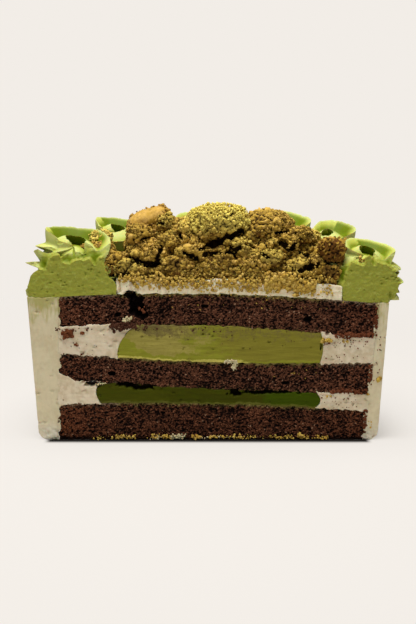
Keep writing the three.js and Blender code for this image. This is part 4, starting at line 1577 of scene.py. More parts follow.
@dataclass(frozen=True)
class CutFace:
    """The flat face that the knife dragged out on a swirl.

    Its outline goes from the left foot over the top to the right foot, as (x, z).
    """

    outline: tuple[tuple[float, float], ...]
    thick: float = 1.6
    setback: float = 3.5
    reach: float = 2.5

    def loop(self) -> Array:
        """The outline, closed along the top of the stack."""
        top = np.array(self.outline)
        x = np.linspace(top[-1, 0], top[0, 0], 12)
        return np.concatenate([top, np.column_stack([x, TOP_FLAT.at(x, 0 * x) + GAP])])

    def behind(self, x: Array, z: Array) -> Array:
        """How far the cream lies behind the cut: nothing inside the outline, more the further out.

        Args:
            x: places across.
            z: their heights.

        Returns:
            The setback times one less the falling exponential of the distance to the outline.
        """
        loop = self.loop()
        inside = np.zeros(x.shape, bool)
        distance = np.full(x.shape, 1e9)
        for (x0, z0), (x1, z1) in zip(loop, np.roll(loop, -1, axis=0)):
            along = np.array([x1 - x0, z1 - z0])
            length = max(float(along @ along), 1e-9)
            share = np.clip(((x - x0) * along[0] + (z - z0) * along[1]) / length, 0, 1)
            distance = np.minimum(distance, np.hypot(x - x0 - share * along[0], z - z0 - share * along[1]))
            if abs(z1 - z0) > 1e-9:
                crosses = ((z0 > z) != (z1 > z)) & (x < x0 + (z - z0) * (x1 - x0) / (z1 - z0))
                inside ^= crosses
        return np.where(inside, 0, self.setback * (1 - np.exp(-distance / self.reach)))

    def plate_shape(self) -> Shape:
        """A thin plate of the outline, which reaches out in front of the cut."""
        loop = self.loop()[::-1]
        shape = Shape()
        rows = [np.column_stack([loop[:, 0], np.full(len(loop), y), loop[:, 1]]) for y in (-1.0, self.thick)]
        numbers = shape.add(np.stack(rows))
        shape.skin(np.concatenate([numbers, numbers[:, :1]], axis=1), flip=True)
        shape.cap(numbers[0])
        shape.cap(numbers[1][::-1])
        return shape


LEFT_CUT = CutFace(
    (
        (-84.8, 74.8), (-85.2, 78.0), (-84.5, 79.9), (-83.4, 83.3), (-82.1, 84.7), (-80.2, 85.9),
        (-75.9, 86.4), (-75.1, 88.1), (-74.3, 90.9), (-73.0, 92.4), (-71.4, 93.1), (-69.5, 93.3),
        (-69.1, 91.4), (-68.5, 89.8), (-66.9, 89.0), (-64.6, 88.8), (-63.1, 90.0), (-61.2, 90.7),
        (-59.3, 90.9), (-58.4, 90.2), (-57.0, 90.9), (-55.6, 91.4), (-54.2, 89.5), (-53.4, 87.9),
        (-52.4, 89.0), (-51.4, 90.9), (-50.4, 92.1), (-49.5, 92.1), (-49.8, 90.0), (-49.1, 88.1),
        (-48.5, 85.7), (-47.4, 84.0), (-46.5, 82.3), (-45.1, 81.4), (-43.8, 79.9), (-42.9, 77.5),
        (-43.4, 75.6),
    )
)
RIGHT_CUT = CutFace(
    (
        (64.0, 72.0), (63.3, 75.6), (63.6, 79.0), (64.9, 80.9), (65.4, 85.2), (66.7, 88.1), (67.1, 90.0),
        (68.3, 89.5), (69.7, 88.8), (71.6, 88.1), (73.0, 87.9), (73.9, 89.0), (73.8, 91.9), (75.1, 92.8),
        (76.2, 90.0), (77.2, 87.9), (78.6, 88.1), (79.0, 90.0), (80.5, 89.0), (83.3, 88.6), (85.2, 87.4),
        (87.2, 85.7), (88.7, 83.8), (89.8, 81.4), (90.4, 79.4), (89.8, 77.5), (89.7, 75.6), (88.8, 74.6),
        (88.2, 73.1), (87.4, 74.1), (86.4, 75.6), (85.4, 76.1),
    )
)


def scraped_relief(points: Array) -> Array:
    """Depth of a swirl's cut: soft waves, a rough grain, and patches of small pits.

    Args:
        points: places on the cut.

    Returns:
        Depths from three noises, and from pits where a fourth, slower one is high.
    """
    waves = 0.3 * fractal(points, (5.0, 4.0, 2.6), 90, 4) + 0.22 * fractal(points, (1.1, 1.1, 0.8), 95, 3)
    near, _, label = grain_cells(points, (1.7, 1.6, 1.1), 97)
    patch = smooth(0.0, 0.35, fractal(points, (8.0, 6.0, 4.0), 98, 2))
    return 0.2 + waves + 0.55 * patch * np.where(label < 0.45, np.maximum(0, 1 - (near / 0.5) ** 2), 0)


@dataclass(frozen=True)
class Piping:
    """The ring of swirls on its band of flat cream, cut by the knife."""

    swirls: tuple[Swirl, ...] = SWIRLS
    cuts: tuple[tuple[int, CutFace], ...] = ((0, LEFT_CUT), (5, RIGHT_CUT))
    far: float = 140.0
    knife_cell: float = 0.36
    rounds: int = 60

    def bed_shape(self) -> Shape:
        """The band of flat cream under the coils: a low section carried round half a turn."""
        angle = np.linspace(0, math.pi, 97)[:, None]
        inner = np.stack(
            [
                TopCream.centre + (TopCream.radius_x + 0.3) * np.cos(angle),
                np.maximum(0, (TopCream.radius_y + 0.3) * np.sin(angle)),
            ],
            axis=-1,
        )
        radius = coat_radius(angle, TOP_TOP.height) + 0.6
        outer = np.stack([radius * np.cos(angle), np.maximum(0, radius * np.sin(angle))], axis=-1)
        middle = (inner + outer) / 2
        bed = NOZZLE.bed
        plan = [inner, middle, outer, outer * 1.004, outer * 0.985, middle, inner]
        lifts = [0.0, 0.0, 0.0, 0.6 * bed, bed, bed + 1.5, bed]
        points = [
            np.concatenate([p, (TOP_FLAT.at(p[..., 0], p[..., 1]) + 0.3 + lift)[..., None]], axis=-1)
            for p, lift in zip(plan, lifts)
        ]
        shape = Shape()
        grid = shape.add(np.concatenate(points, axis=1))
        shape.skin(np.concatenate([grid, grid[:, :1]], axis=1), flip=True)
        shape.cap(grid[0])
        shape.cap(grid[-1][::-1])
        return shape

    def knife_shape(self, middle: float, face: CutFace | None) -> Shape:
        """The room behind the knife: a block whose front has the relief of the cut.

        Args:
            middle: x of the block's middle.
            face: outside this face's outline the block's front is set back; None leaves it flat.

        Returns:
            The block's shape.
        """
        shape = Shape()
        left, right = middle - 40, middle + 40
        low, high, deep = 64.0, 125.0, 130.0
        x, z = np.meshgrid(
            np.linspace(left, right, int((right - left) / self.knife_cell)),
            np.linspace(low, high, int((high - low) / self.knife_cell)),
        )
        front = np.stack([x, np.zeros_like(x), z], axis=-1)
        front[..., 1] += np.maximum(0.02, scraped_relief(front))
        if face:
            front[..., 1] += 0.06 + face.behind(x, z)
        near = shape.add(front)
        rear = shape.add(np.array([[(x, deep, z) for x in (left, right)] for z in (low, high)]))
        shape.skin(near)
        shape.skin(rear, flip=True)
        shape.cap(np.concatenate([near[0][::-1], rear[0]]))
        shape.cap(np.concatenate([near[-1], rear[1][::-1]]))
        shape.cap(np.concatenate([near[:, 0], rear[::-1, 0]]))
        shape.cap(np.concatenate([near[::-1, -1], rear[:, 1]]))
        return shape

    def wedge_shape(self, index: int) -> Shape:
        """The wedge of the rim that one swirl fills, up to halfway to each neighbour."""
        bearings = [math.atan2(swirl.y, swirl.x) for swirl in self.swirls]
        own = bearings[index]
        before = (own + bearings[index - 1]) / 2 if index else math.pi + 0.2
        after = (own + bearings[index + 1]) / 2 if index + 1 < len(bearings) else -0.2
        near = [(5.0, after), (5.0, before)]
        far = [(self.far, before), (1.2 * self.far, own), (self.far, after)]
        plan = np.array([(reach * math.cos(angle), reach * math.sin(angle)) for reach, angle in near + far])
        shape = Shape()
        heights = np.array([60.0, 160.0])
        loops = shape.add(np.stack([np.column_stack([plan, np.full(len(plan), h)]) for h in heights]))
        shape.skin(np.concatenate([loops, loops[:, :1]], axis=1), flip=True)
        shape.cap(loops[0])
        shape.cap(loops[1][::-1])
        return shape

    def build(self, kitchen: Kitchen) -> None:
        """Makes each swirl: its coil joined with the band, then cut out by wedge and knife."""
        layout = kitchen.layout
        for index, swirl in enumerate(self.swirls):
            name = f"matcha_swirl_{index + 1}"
            piece = swirl.coil_shape().build(f"{name}_piped", layout)
            combine(piece, self.bed_shape().build("bed", layout), Join.ADD)
            combine(piece, self.wedge_shape(index).build("wedge", layout), Join.KEEP_SHARED)
            for _, face in [cut for cut in self.cuts if cut[0] == index]:
                combine(piece, self.knife_shape(swirl.x, face).build("knife", layout), Join.KEEP_SHARED)
                plate = face.plate_shape().build("plate", layout)
                combine(plate, self.knife_shape(swirl.x, None).build("knife", layout), Join.KEEP_SHARED)
                combine(piece, plate, Join.ADD)
            mesh = piece.data
            mesh.polygons.foreach_set("use_smooth", np.ones(len(mesh.polygons), bool))
            mesh.set_sharp_from_angle(angle=math.radians(50))
            # The hollowness sets the painted shade in the valleys and the painted highlight on the crests.
            set_value(mesh, "hollow", hollowness(mesh, self.rounds))
            places = self.places_of(mesh, layout)
            # Painted shade in each coil's hollow, partly the denser green of thick cream.
            set_value(mesh, "bowl_tone_and_shade", swirl.bowl_tone_and_shade_share(places))
            set_value(mesh, "cut", 1 - smooth(1.2, 1.6, places[:, 1]))
            kitchen.serve(piece, SwirlFinish(), Slot.MATCHA, [name])

    @staticmethod
    def places_of(mesh: bpy.types.Mesh, layout: Layout) -> Array:
        """A mesh's vertices in the drawing's millimetres."""
        return vertex_numbers(mesh, "co") / MM - (layout.x, layout.y, 0)


# Crumble

CRUMBLE_ROUNDS = 7


def grain_caps(points: Array, size: float, seed: int) -> tuple[Array, Array]:
    """A surface of packed round grains.

    Args:
        points: places, with x, y and z last.
        size: distance between the grains.
        seed: picks another packing.

    Returns:
        The height from 0 between grains to 1 on top of one, as on a ball, and each grain's number.
    """
    near, _, label = grain_cells(points, size, seed)
    return np.sqrt(np.maximum(0, 1 - (near / 0.78) ** 2)), label


def crumble_relief(points: Array, grain: float, height: float, clod: float) -> tuple[Array, Array]:
    """The rough surface of packed crumble: clods of grains, with finer grains on them.

    Args:
        points: places, with x, y and z last.
        grain: distance between the grains.
        height: how far a grain stands out.
        clod: how far a clod stands out.

    Returns:
        The height over the smooth surface, about 0 on average, and a tint from 0 to 1 that is lowered in the
        gaps between clods as painted shade.
    """
    warp = np.stack([soft_noise(points, 3.0, seed) for seed in (201, 202, 203)], axis=-1)
    near, second, clod_label = grain_cells(points + 1.4 * warp, 4.4, 52)
    clods = smooth(0, 0.45, second - near)
    caps, label = grain_caps(points + 0.4 * warp, grain, 50)
    fine, _ = grain_caps(points, 0.55 * grain, 60)
    bump = height * ((0.1 + 0.95 * label) * caps + 0.4 * fine - 0.7 + 0.9 * fractal(points, 1.2, 65, 3))
    bump = bump + clod * ((0.45 + 0.75 * clod_label) * clods - 0.6)
    tint = np.clip(0.55 + 0.5 * (clod_label - 0.5) + 0.6 * (label - 0.5), 0, 1)
    # Painted shade: the tint falls in the gaps between clods.
    return bump, tint * (0.25 + 0.75 * smooth(0, 0.6, clods))


@dataclass(frozen=True)
class Lump:
    """A lump of crumble: its middle, half sizes, turn about Z, and how much matcha is on it."""

    at: tuple[float, float, float]
    half: tuple[float, float, float]
    turn: float = 0.0
    node: str = ""
    dust: float = 0.0
    tone: float = 0.5
    grain: float = 1.35
    height: float = 0.85
    rough: float = 0.25
    bare: float = 0.0
    boxy: float = 2.6
    lean: float = 0.0
    crust: float = 0.0

    def crusted(self, directions: Array) -> Array:
        """The share of smooth crust in each direction: most on the side up toward the left front."""
        return self.crust * smooth(0.45, 0.75, directions @ np.array((-0.08, -0.36, 0.93)))

    def local(self, points: Array) -> Array:
        """Places in the lump's own axes, in shares of its half sizes."""
        angle = math.radians(self.turn)
        x, y, z = np.moveaxis(points - np.array(self.at), -1, 0)
        along = x * math.cos(angle) + y * math.sin(angle)
        aside = -x * math.sin(angle) + y * math.cos(angle)
        return np.stack([along, aside, z - self.lean * x], axis=-1) / np.array(self.half)

    def on(self, directions: Array, swell: float = 1.0) -> Array:
        """Places on the smooth lump in some directions from its middle.

        Args:
            directions: unit arrows in the lump's own axes.
            swell: makes the lump this many times as large.

        Returns:
            The places. The boxier the lump, the further its corners reach past those of a ball.
        """
        angle = math.radians(self.turn)
        reach = np.sum(np.abs(directions) ** self.boxy, axis=-1, keepdims=True) ** (1 / self.boxy)
        directions = directions / reach
        along, aside, z = np.moveaxis(directions * np.array(self.half) * swell, -1, 0)
        x = along * math.cos(angle) - aside * math.sin(angle)
        y = along * math.sin(angle) + aside * math.cos(angle)
        return np.stack([x, y, z + self.lean * x], axis=-1) + np.array(self.at)

    def add_to(self, shape: Shape, cell: float) -> None:
        """Adds the lump's rough skin: a ball, swollen by noise, with grains standing out of it.

        Args:
            shape: gets the skin.
            cell: distance between the skin's points.
        """
        radius = sum(self.half) / 3
        rows = max(10, int(math.pi * radius / cell))
        polar = np.linspace(0, math.pi, rows + 1)[1:-1, None]
        round_ = np.linspace(0, 2 * math.pi, 2 * rows + 1)[None, :-1]
        level = np.sin(polar)
        ring = joined(level * np.cos(round_), level * np.sin(round_), np.cos(polar))
        poles = np.array([[0, 0, 1.0], [0, 0, -1.0]])
        numbers = []
        for directions in (ring, poles):
            skin = self.on(directions)
            bump, tint = crumble_relief(skin, self.grain, self.height, 1.9 * self.height * min(1, radius / 8))
            crust = self.crusted(directions)
            bump = bump * (1 - 0.75 * crust)
            tint = blend(tint, 0.66 + 0.3 * fractal(skin, 3.0, 35, 3), crust)
            push = self.rough * fractal(skin, 0.9 * radius, 31, 3) * (1 - 0.5 * crust) + bump / radius
            places = push_back(self.on(directions, 1 + push[..., None]), self.grain)
            dust = self.dust * (0.5 + 0.5 * tint) * smooth(-0.9, 0.2, directions[..., 2])
            tint = np.clip(tint + self.tone - 0.5, 0, 1)
            numbers.append(shape.add(places, tint=tint, dust=dust, shade=in_crevice(places)))
        grid, (top, bottom) = numbers
        grid = np.concatenate([grid, grid[:, :1]], axis=1)
        shape.skin(grid, flip=True)
        for pole, edge, turned in ((top, grid[0], False), (bottom, grid[-1], True)):
            fan = np.stack([np.full(len(edge) - 1, pole), edge[:-1], edge[1:]], axis=1)
            shape.faces.append(fan[:, ::-1] if turned else fan)


NAMED_LUMPS = (
    Lump(
        (-29, 19, 103.8), (9.8, 8.5, 8.6), 0, "crumble_lump_biscuit", 0.0, 0.65, 1.2, 0.6, 0.14,
        bare=0.3, boxy=3.4, lean=0.26, crust=1.0,
    ),
    Lump(
        (4.5, 16, 105.5), (15, 10, 9.2), -8, "crumble_lump_matcha", 0.95, 0.6, 1.15, 0.6, 0.2,
        bare=0.2, boxy=2.4, lean=0.06,
    ),
    Lump((30, 19, 103), (11, 9, 8), 10, "crumble_lump_right", 0.15, 0.6, 1.3, 0.8, 0.24, 0.0, 2.6, -0.04),
    Lump((58.5, 5.5, 94.6), (6.3, 5.4, 5.8), 10, "crumble_lump_edge", 0.0, 0.35, 1.1, 0.5, 0.14, 0.5),
    Lump((58.8, 5.2, 84.6), (6.4, 5, 4.9), 60, "crumble_lump_foot", 0.1, 0.35, 1.25, 0.7, 0.16),
    Lump((-44.8, 6.6, 87.2), (6.3, 5, 6), 20, "crumble_lump_corner", 0.1, 0.35, 1.3, 0.75, 0.18),
    Lump((-27.5, 9.5, 92.2), (8.6, 6.5, 6.4), -20, "crumble_lump_front", 0.1, 0.6, 1.3, 0.75, 0.22),
    Lump((-53, 11, 93.6), (8.2, 4.4, 3.7), 12, "crumble_lump_rim", 0.15, 0.5, 1.2, 0.65, 0.2),
    Lump((-52.5, 20.5, 97), (5.8, 4.8, 4.4), 40, "crumble_lump_dusted", 0.75, 0.5, 1.2, 0.65, 0.14, 0.4),
)


@dataclass(frozen=True)
class Crevice:
    """A gap between lumps as seen from the front, pushed back and darkened with painted shade: a line from
    one end to the other.
    """

    x0: float
    z0: float
    x1: float
    z1: float
    reach: float = 2.0
    lean: float = 0.27

    def near(self, points: Array) -> Array:
        """1 on the line, falling to 0 at its reach, for places seen from a little above."""
        x, y, z = np.moveaxis(points, -1, 0)
        seen = z + self.lean * y
        along = np.array([self.x1 - self.x0, self.z1 - self.z0])
        share = np.clip(((x - self.x0) * along[0] + (seen - self.z0) * along[1]) / (along @ along), 0, 1)
        away = np.hypot(x - self.x0 - share * along[0], seen - self.z0 - share * along[1])
        return 1 - smooth(0.6 * self.reach, self.reach, away)


CREVICES = (
    Crevice(-2.8, 97.1, 8.3, 101.8, 2.1),
    Crevice(8.3, 101.8, 16.2, 105.5, 2.1),
    Crevice(-1.4, 94.3, 6.5, 94.7, 1.4),
    Crevice(-36.4, 92.4, -29.5, 89.0, 1.9),
    Crevice(-29.5, 89.0, -23.8, 90.0, 2.1),
    Crevice(-24.3, 91.9, -21.9, 97.6, 1.5),
    Crevice(34.8, 99.5, 38.6, 96.2, 1.9),
    Crevice(38.6, 96.2, 41.8, 99.0, 1.6),
    Crevice(32.4, 105.5, 37.9, 105.1, 1.3),
    Crevice(44.1, 86.2, 51.5, 89.0, 2),
    Crevice(56.1, 89.6, 60.8, 89.4, 1.4),
    Crevice(38.5, 82.8, 46.1, 81.9, 1.2),
    Crevice(9.3, 94.7, 14.9, 97.1, 1.6),
    Crevice(17.7, 99.0, 20.5, 98.0, 1.2),
    Crevice(10.7, 98.5, 13.1, 91.9, 1.2),
    Crevice(-35.3, 81.4, -29.2, 80.9, 1.2),
    Crevice(-11.2, 94.7, -5.6, 91.9, 1.5),
    Crevice(-31.5, 101.3, -28.3, 102.3, 0.88),
    Crevice(-13.4, 104.6, -13.0, 101.3, 1),
    Crevice(-23.1, 109.3, -21.2, 108.8, 0.96),
    Crevice(25.2, 94.3, 28.0, 92.4, 1.1),
    Crevice(-45.1, 82.3, -38.4, 85.0, 1.4),
    Crevice(44.2, 95.7, 48.5, 93.3, 1),
)


def in_crevice(points: Array) -> Array:
    """The nearness to the nearest crevice, from 0 to 1, with a broken edge."""
    broken = points + 1.1 * np.stack([soft_noise(points, 2.2, seed) for seed in (211, 212, 213)], axis=-1)
    return np.max([crevice.near(broken) for crevice in CREVICES], axis=0)


def push_back(places: Array, grain: float) -> Array:
    """Moves places behind the cut, with grains standing out of the cut, and deepens the crevices."""
    cap, label = grain_caps(places * (1, 0, 1), grain, 55)
    moved = places + 5.0 * in_crevice(places)[..., None] * np.array((0, 1, -0.3))
    moved[..., 1] = np.maximum(moved[..., 1], 0.15 + 1.7 * (1 - cap * (0.4 + 0.6 * label)))
    return moved


@dataclass(frozen=True)
class Heap:
    """The heap of crumble: one rough surface, with lumps half sunk in it."""

    centre_x: float = 5.0
    reach_x: float = 60.0
    tall: float = 27.5
    crest_y: float = 17.0
    back_y: float = 44.0
    lumps: int = 36
    small: int = 60
    columns: int = 330
    skirt: int = 14
    rows: int = 150

    def height(self, x: Array, y: Array) -> Array:
        """Height of the heap over the cream, as the solid's."""
        along = np.minimum(1, np.abs(x - self.centre_x) / self.reach_x)
        crest = self.tall * (1 - along**4.5) * (1 + 0.06 * np.sin(0.21 * x + 1))
        front = 0.1 + 0.9 * smooth(-3, self.crest_y, y)
        back = 1 - 0.55 * smooth(self.crest_y + 5, self.back_y, y)
        return np.maximum(1.5, crest * front * back)

    def spread(self, index: Array, count: int, low: float = 2.5) -> tuple[Array, Array]:
        """Evenly spread places over the heap's plan, by the golden ratio."""
        y = low + (40.5 - low) * ((index + 0.5) / count) ** 1.4
        reach = (TopCream.radius_x - 6) * np.sqrt(np.maximum(0, 1 - (y / (TopCream.radius_y + 1)) ** 2))
        return TopCream.centre + reach * (2 * ((index * GOLDEN_STEP) % 1) - 1), y

    def heap_lumps(self) -> list[Lump]:
        """The lumps over the heap, at the places and sizes that the part's source draws, sunk deeper."""
        draw = chances(71)
        made = []
        for index in range(self.lumps):
            x, y = (float(v) for v in self.spread(np.float64(index), self.lumps))
            size = 3.6 + 2.4 * draw()
            z = float(TopCream.height(x, y) + self.height(x, y)) + size * (0.3 * draw() - 0.5)
            half = ((0.9 + 0.5 * draw()) * size, (0.8 + 0.4 * draw()) * size, (0.75 + 0.3 * draw()) * size)
            turn = 360 * draw()
            dust = 0.15 + 0.3 * (index % 3 == 0)
            made.append(Lump((x, y, z), half, turn, dust=dust, tone=0.4 + 0.2 * (index % 2)))
        return made

    def small_lumps(self) -> list[Lump]:
        """Smaller lumps between the large ones, none of them in a crevice."""
        draw = chances(19)
        made = []
        for index in range(self.small):
            x, y = (float(v) for v in self.spread(np.float64(index + 0.37), self.small, 1.2))
            x += 4 * (draw() - 0.5)
            size = 1.5 + 1.3 * draw()
            z = float(TopCream.height(x, y) + self.height(x, y)) - 0.4 + draw()
            half = (size * (0.9 + 0.5 * draw()), size * (0.9 + 0.3 * draw()), size * (0.8 + 0.3 * draw()))
            turn, dust, tone = 360 * draw(), 0.35 * draw(), 0.3 + 0.4 * draw()
            made.append(Lump((x, y, z), half, turn, dust=dust, tone=tone, grain=1.3))
        return [lump for lump in made if in_crevice(np.array([lump.at]))[0] < 0.3]

    def smooth_place(self, across: Array, along: Array) -> Array:
        """The heap's smooth outside.

        Args:
            across: shares from the left end to the right.
            along: shares from the foot of its front, over it, to the foot of its back.

        Returns:
            Places: a short wall up, the heap itself, and a wall down.
        """
        x = TopCream.centre + (TopCream.radius_x - 2.5) * (2 * across - 1)
        arc = (TopCream.radius_y - 1) * np.sqrt(np.maximum(0, 1 - (2 * across - 1) ** 2)) + 0.3
        over = np.clip((along - 0.1) / 0.8, 0, 1) ** 1.15
        up = np.clip(along / 0.1, 0, 1) * np.clip((1 - along) / 0.1, 0, 1)
        y = 0.6 + over * arc
        z = TopCream.height(x, y) + blend(-0.2, self.height(x, y), up)
        return joined(x, y, z)

    def rough_place(self, across: Array, along: Array) -> tuple[Array, Array]:
        """The heap's rough outside: the smooth one, moved along its normals.

        Args:
            across: shares from the left end to the right.
            along: shares from the front's foot to the back's.

        Returns:
            The places and their tints.
        """
        base = self.smooth_place(across, along)
        step = 1e-3
        sideways = self.smooth_place(across + step, along) - self.smooth_place(across - step, along)
        onward = self.smooth_place(across, along + step) - self.smooth_place(across, along - step)
        normal = np.cross(sideways, onward)
        normal /= np.maximum(np.linalg.norm(normal, axis=-1, keepdims=True), 1e-9)
        bump, tint = crumble_relief(base, 1.3, 0.85, 2.2)
        bump = bump + 2.2 * fractal(base, 9.0, 45, 3)
        edge = smooth(0, 0.02, along) * smooth(1, 0.98, along)
        edge = edge * smooth(0, 0.01, across) * smooth(1, 0.99, across)
        return push_back(base + (edge * bump)[..., None] * normal, 1.3), tint

    def skin_shape(self) -> Shape:
        """The heap as a closed shape: its outside, a floor and two ends."""
        across = np.linspace(0, 0.999, self.columns)[None, :]
        wall = np.linspace(0, 0.1, self.skirt + 1)
        along = np.concatenate([wall, np.linspace(0.1, 0.9, self.rows + 1)[1:-1], 1 - wall[::-1]])[:, None]
        across, along = np.broadcast_arrays(across, along)
        places, tint = self.rough_place(across, along)
        shape = Shape()
        grid = shape.add(places, tint=tint, dust=0.25 * tint, shade=in_crevice(places))
        shape.skin(grid)
        shape.skin(np.stack([grid[-1], grid[0]]))
        shape.close_arch(grid[:, 0])
        shape.close_arch(grid[:, -1], flip=True)
        return shape

    def build(self, kitchen: Kitchen) -> list[Lump]:
        """Makes the heap, its lumps and the named lumps.

        Returns:
            All the lumps, for the loose grains to lie on.
        """
        heap = self.skin_shape()
        own = self.heap_lumps()
        small = self.small_lumps()
        self.finish_piece(kitchen, heap, "crumble_heap_core", ["crumble_heap"])
        clods = Shape()
        for lump in (*own, *small):
            lump.add_to(clods, 0.55)
        self.finish_piece(kitchen, clods, "crumble_clods", [])
        for lump in NAMED_LUMPS:
            shape = Shape()
            lump.add_to(shape, 0.42)
            self.finish_piece(kitchen, shape, f"{lump.node}_grains", [lump.node])
        return [*NAMED_LUMPS, *own, *small]

    @staticmethod
    def finish_piece(kitchen: Kitchen, shape: Shape, name: str, nodes: list[str]) -> None:
        """Builds a crumble piece, measures its hollows and dresses it."""
        piece = shape.build(name, kitchen.layout)
        # The hollowness sets the painted shade in the crumble's hollows.
        set_value(piece.data, "hollow", hollowness(piece.data, CRUMBLE_ROUNDS))
        kitchen.serve(piece, CrumbleFinish(), Slot.CRUMBLE, nodes)


def ball_of_faces(fine: bool) -> tuple[Array, Array]:
    """A ball with few faces.

    Args:
        fine: splits each of the 20 triangles into four.

    Returns:
        The places of its corners and the corner numbers of its triangles.
    """
    golden = (1 + math.sqrt(5)) / 2
    corners = [(0, a, b * golden) for a in (-1, 1) for b in (-1, 1)]
    corners = np.array([np.roll(c, turn) for turn in range(3) for c in corners], float)
    corners /= np.linalg.norm(corners[0])
    near = np.linalg.norm(corners[:, None] - corners[None], axis=-1) < 1.2
    faces = [
        (a, b, c)
        for a, b, c in combinations(range(12), 3)
        if near[a, b] and near[b, c] and near[a, c]
    ]
    faces = np.array([f if np.linalg.det(corners[list(f)]) > 0 else f[::-1] for f in faces])
    if not fine:
        return corners, faces
    halves = np.stack([corners[faces[:, a]] + corners[faces[:, (a + 1) % 3]] for a in range(3)], axis=1)
    halves = halves / np.linalg.norm(halves, axis=-1, keepdims=True)
    everything = np.concatenate([corners, halves.reshape(-1, 3)])
    middle = len(corners) + np.arange(len(faces) * 3).reshape(-1, 3)
    split = [np.stack([faces[:, a], middle[:, a], middle[:, (a + 2) % 3]], axis=1) for a in range(3)]
    _, first, renamed = np.unique(np.round(everything, 5), axis=0, return_index=True, return_inverse=True)
    return everything[first], renamed.reshape(-1)[np.concatenate([*split, middle])]


def scatter_grains(
    shape: Shape, places: Array, sizes: Array, seed: int, fine: bool = False, **values: Array
) -> None:
    """Adds a rough grain at each place: a ball of few faces, squeezed, dented and turned by chance.

    Args:
        shape: gets the grains.
        places: the grains' middles.
        sizes: their radii.
        seed: picks other grains.
        fine: uses the finer ball.
        **values: one number for each grain under each name.
    """
    chance = np.random.default_rng(seed)
    corners, faces = ball_of_faces(fine)
    count = len(places)
    turn = chance.normal(size=(count, 4))
    w, x, y, z = (turn / np.linalg.norm(turn, axis=1, keepdims=True)).T
    spin = np.stack(
        [
            np.stack([1 - 2 * (y * y + z * z), 2 * (x * y - z * w), 2 * (x * z + y * w)], axis=1),
            np.stack([2 * (x * y + z * w), 1 - 2 * (x * x + z * z), 2 * (y * z - x * w)], axis=1),
            np.stack([2 * (x * z - y * w), 2 * (y * z + x * w), 1 - 2 * (x * x + y * y)], axis=1),
        ],
        axis=1,
    )
    dented = corners[None] * chance.uniform(0.65, 1.3, (count, len(corners), 1))
    squeezed = dented * chance.uniform(0.7, 1.25, (count, 1, 3)) * np.asarray(sizes)[:, None, None]
    points = np.einsum("nij,nkj->nki", spin, squeezed) + places[:, None]
    spread = {name: np.repeat(np.asarray(v)[:, None], len(corners), axis=1) for name, v in values.items()}
    numbers = shape.add(points, **spread)
    shape.faces.append(numbers[:, faces].reshape(-1, 3))


@dataclass(frozen=True)
class LooseGrains:
    """Loose crumbs of the crumble, over the lumps and the heap."""

    fine_count: int = 24000
    heap_count: int = 13000
    coarse_count: int = 900
    per_piece: int = 9000

    def sources(
        self, lumps: list[Lump], count: int, chance: np.random.Generator
    ) -> tuple[Array, Array, Array]:
        """Places on the outsides of the lumps that nothing else covers.

        Args:
            lumps: the lumps.
            count: how many places to try.
            chance: where the chances come from.

        Returns:
            The places that are free, and the tone and the dust of the lump under each one.
        """
        area = np.array([lump.half[0] * lump.half[1] + lump.half[1] * lump.half[2] for lump in lumps])
        chosen = chance.choice(len(lumps), count, p=area / area.sum())
        directions = chance.normal(size=(count, 3))
        directions /= np.linalg.norm(directions, axis=1, keepdims=True)
        directions[:, 2] = np.where(directions[:, 2] < -0.35, -directions[:, 2], directions[:, 2])
        places = np.zeros((count, 3))
        free = np.ones(count, bool)
        for number, lump in enumerate(lumps):
            own = chosen == number
            places[own] = lump.on(directions[own], chance.uniform(0.97, 1.08, (own.sum(), 1)))
        for number, lump in enumerate(lumps):
            free &= (np.linalg.norm(lump.local(places), axis=1) > 0.93) | (chosen == number)
        free &= (places[:, 1] > 0.5) & (places[:, 2] > TopCream.height(places[:, 0], places[:, 1]))
        bare = np.array([lump.bare for lump in lumps])[chosen]
        crusts = np.stack([lump.crusted(directions) for lump in lumps])
        bare = np.maximum(bare, crusts[chosen, np.arange(count)])
        free &= chance.uniform(0, 1, count) > bare + 0.9 * in_crevice(places)
        free &= fractal(places, 5.0, 91, 2) > -0.25
        tone = np.array([lump.tone for lump in lumps])[chosen]
        dust = np.array([lump.dust for lump in lumps])[chosen] * smooth(-0.9, 0.2, directions[:, 2])
        return places[free], tone[free], dust[free]

    def build(self, kitchen: Kitchen, lumps: list[Lump], heap: Heap) -> None:
        """Makes the loose grains on the lumps and on the heap between them."""
        chance = np.random.default_rng(5)
        places, tone, dust = self.sources(lumps, self.fine_count, chance)
        across = chance.uniform(0.01, 0.99, self.heap_count)
        along = 0.03 + 0.95 * chance.uniform(0, 1, self.heap_count) ** 1.4
        on_heap, tint = heap.rough_place(across, along)
        free = chance.uniform(0, 1, self.heap_count) > 1.2 * in_crevice(on_heap)
        places = np.concatenate([places, on_heap[free]])
        tone = np.concatenate([tone, tint[free]])
        dust = np.concatenate([dust, 0.35 * chance.uniform(0, 1, free.sum())])
        sizes = 0.26 + 0.46 * chance.uniform(0, 1, len(places)) ** 2.2
        tint = np.clip(tone + chance.normal(0, 0.3, len(places)), 0, 1)
        order = chance.permutation(len(places))
        for number, start in enumerate(range(0, len(places), self.per_piece)):
            part = order[start : start + self.per_piece]
            shape = Shape()
            scatter_grains(shape, places[part], sizes[part], 100 + number, tint=tint[part], dust=dust[part])
            self.serve(kitchen, shape, f"crumble_grains_{number + 1}")
        places, tone, dust = self.sources(lumps, self.coarse_count, chance)
        sizes = chance.uniform(0.6, 1.1, len(places))
        tint = np.clip(tone + chance.normal(0, 0.2, len(places)), 0, 1)
        shape = Shape()
        scatter_grains(shape, places, sizes, 200, fine=True, tint=tint, dust=dust)
        self.serve(kitchen, shape, "crumble_large_grains")

    @staticmethod
    def serve(kitchen: Kitchen, shape: Shape, name: str) -> None:
        """Builds a piece of loose grains and dresses it."""
        kitchen.serve(shape.build(name, kitchen.layout), CrumbleFinish(), Slot.CRUMBLE)


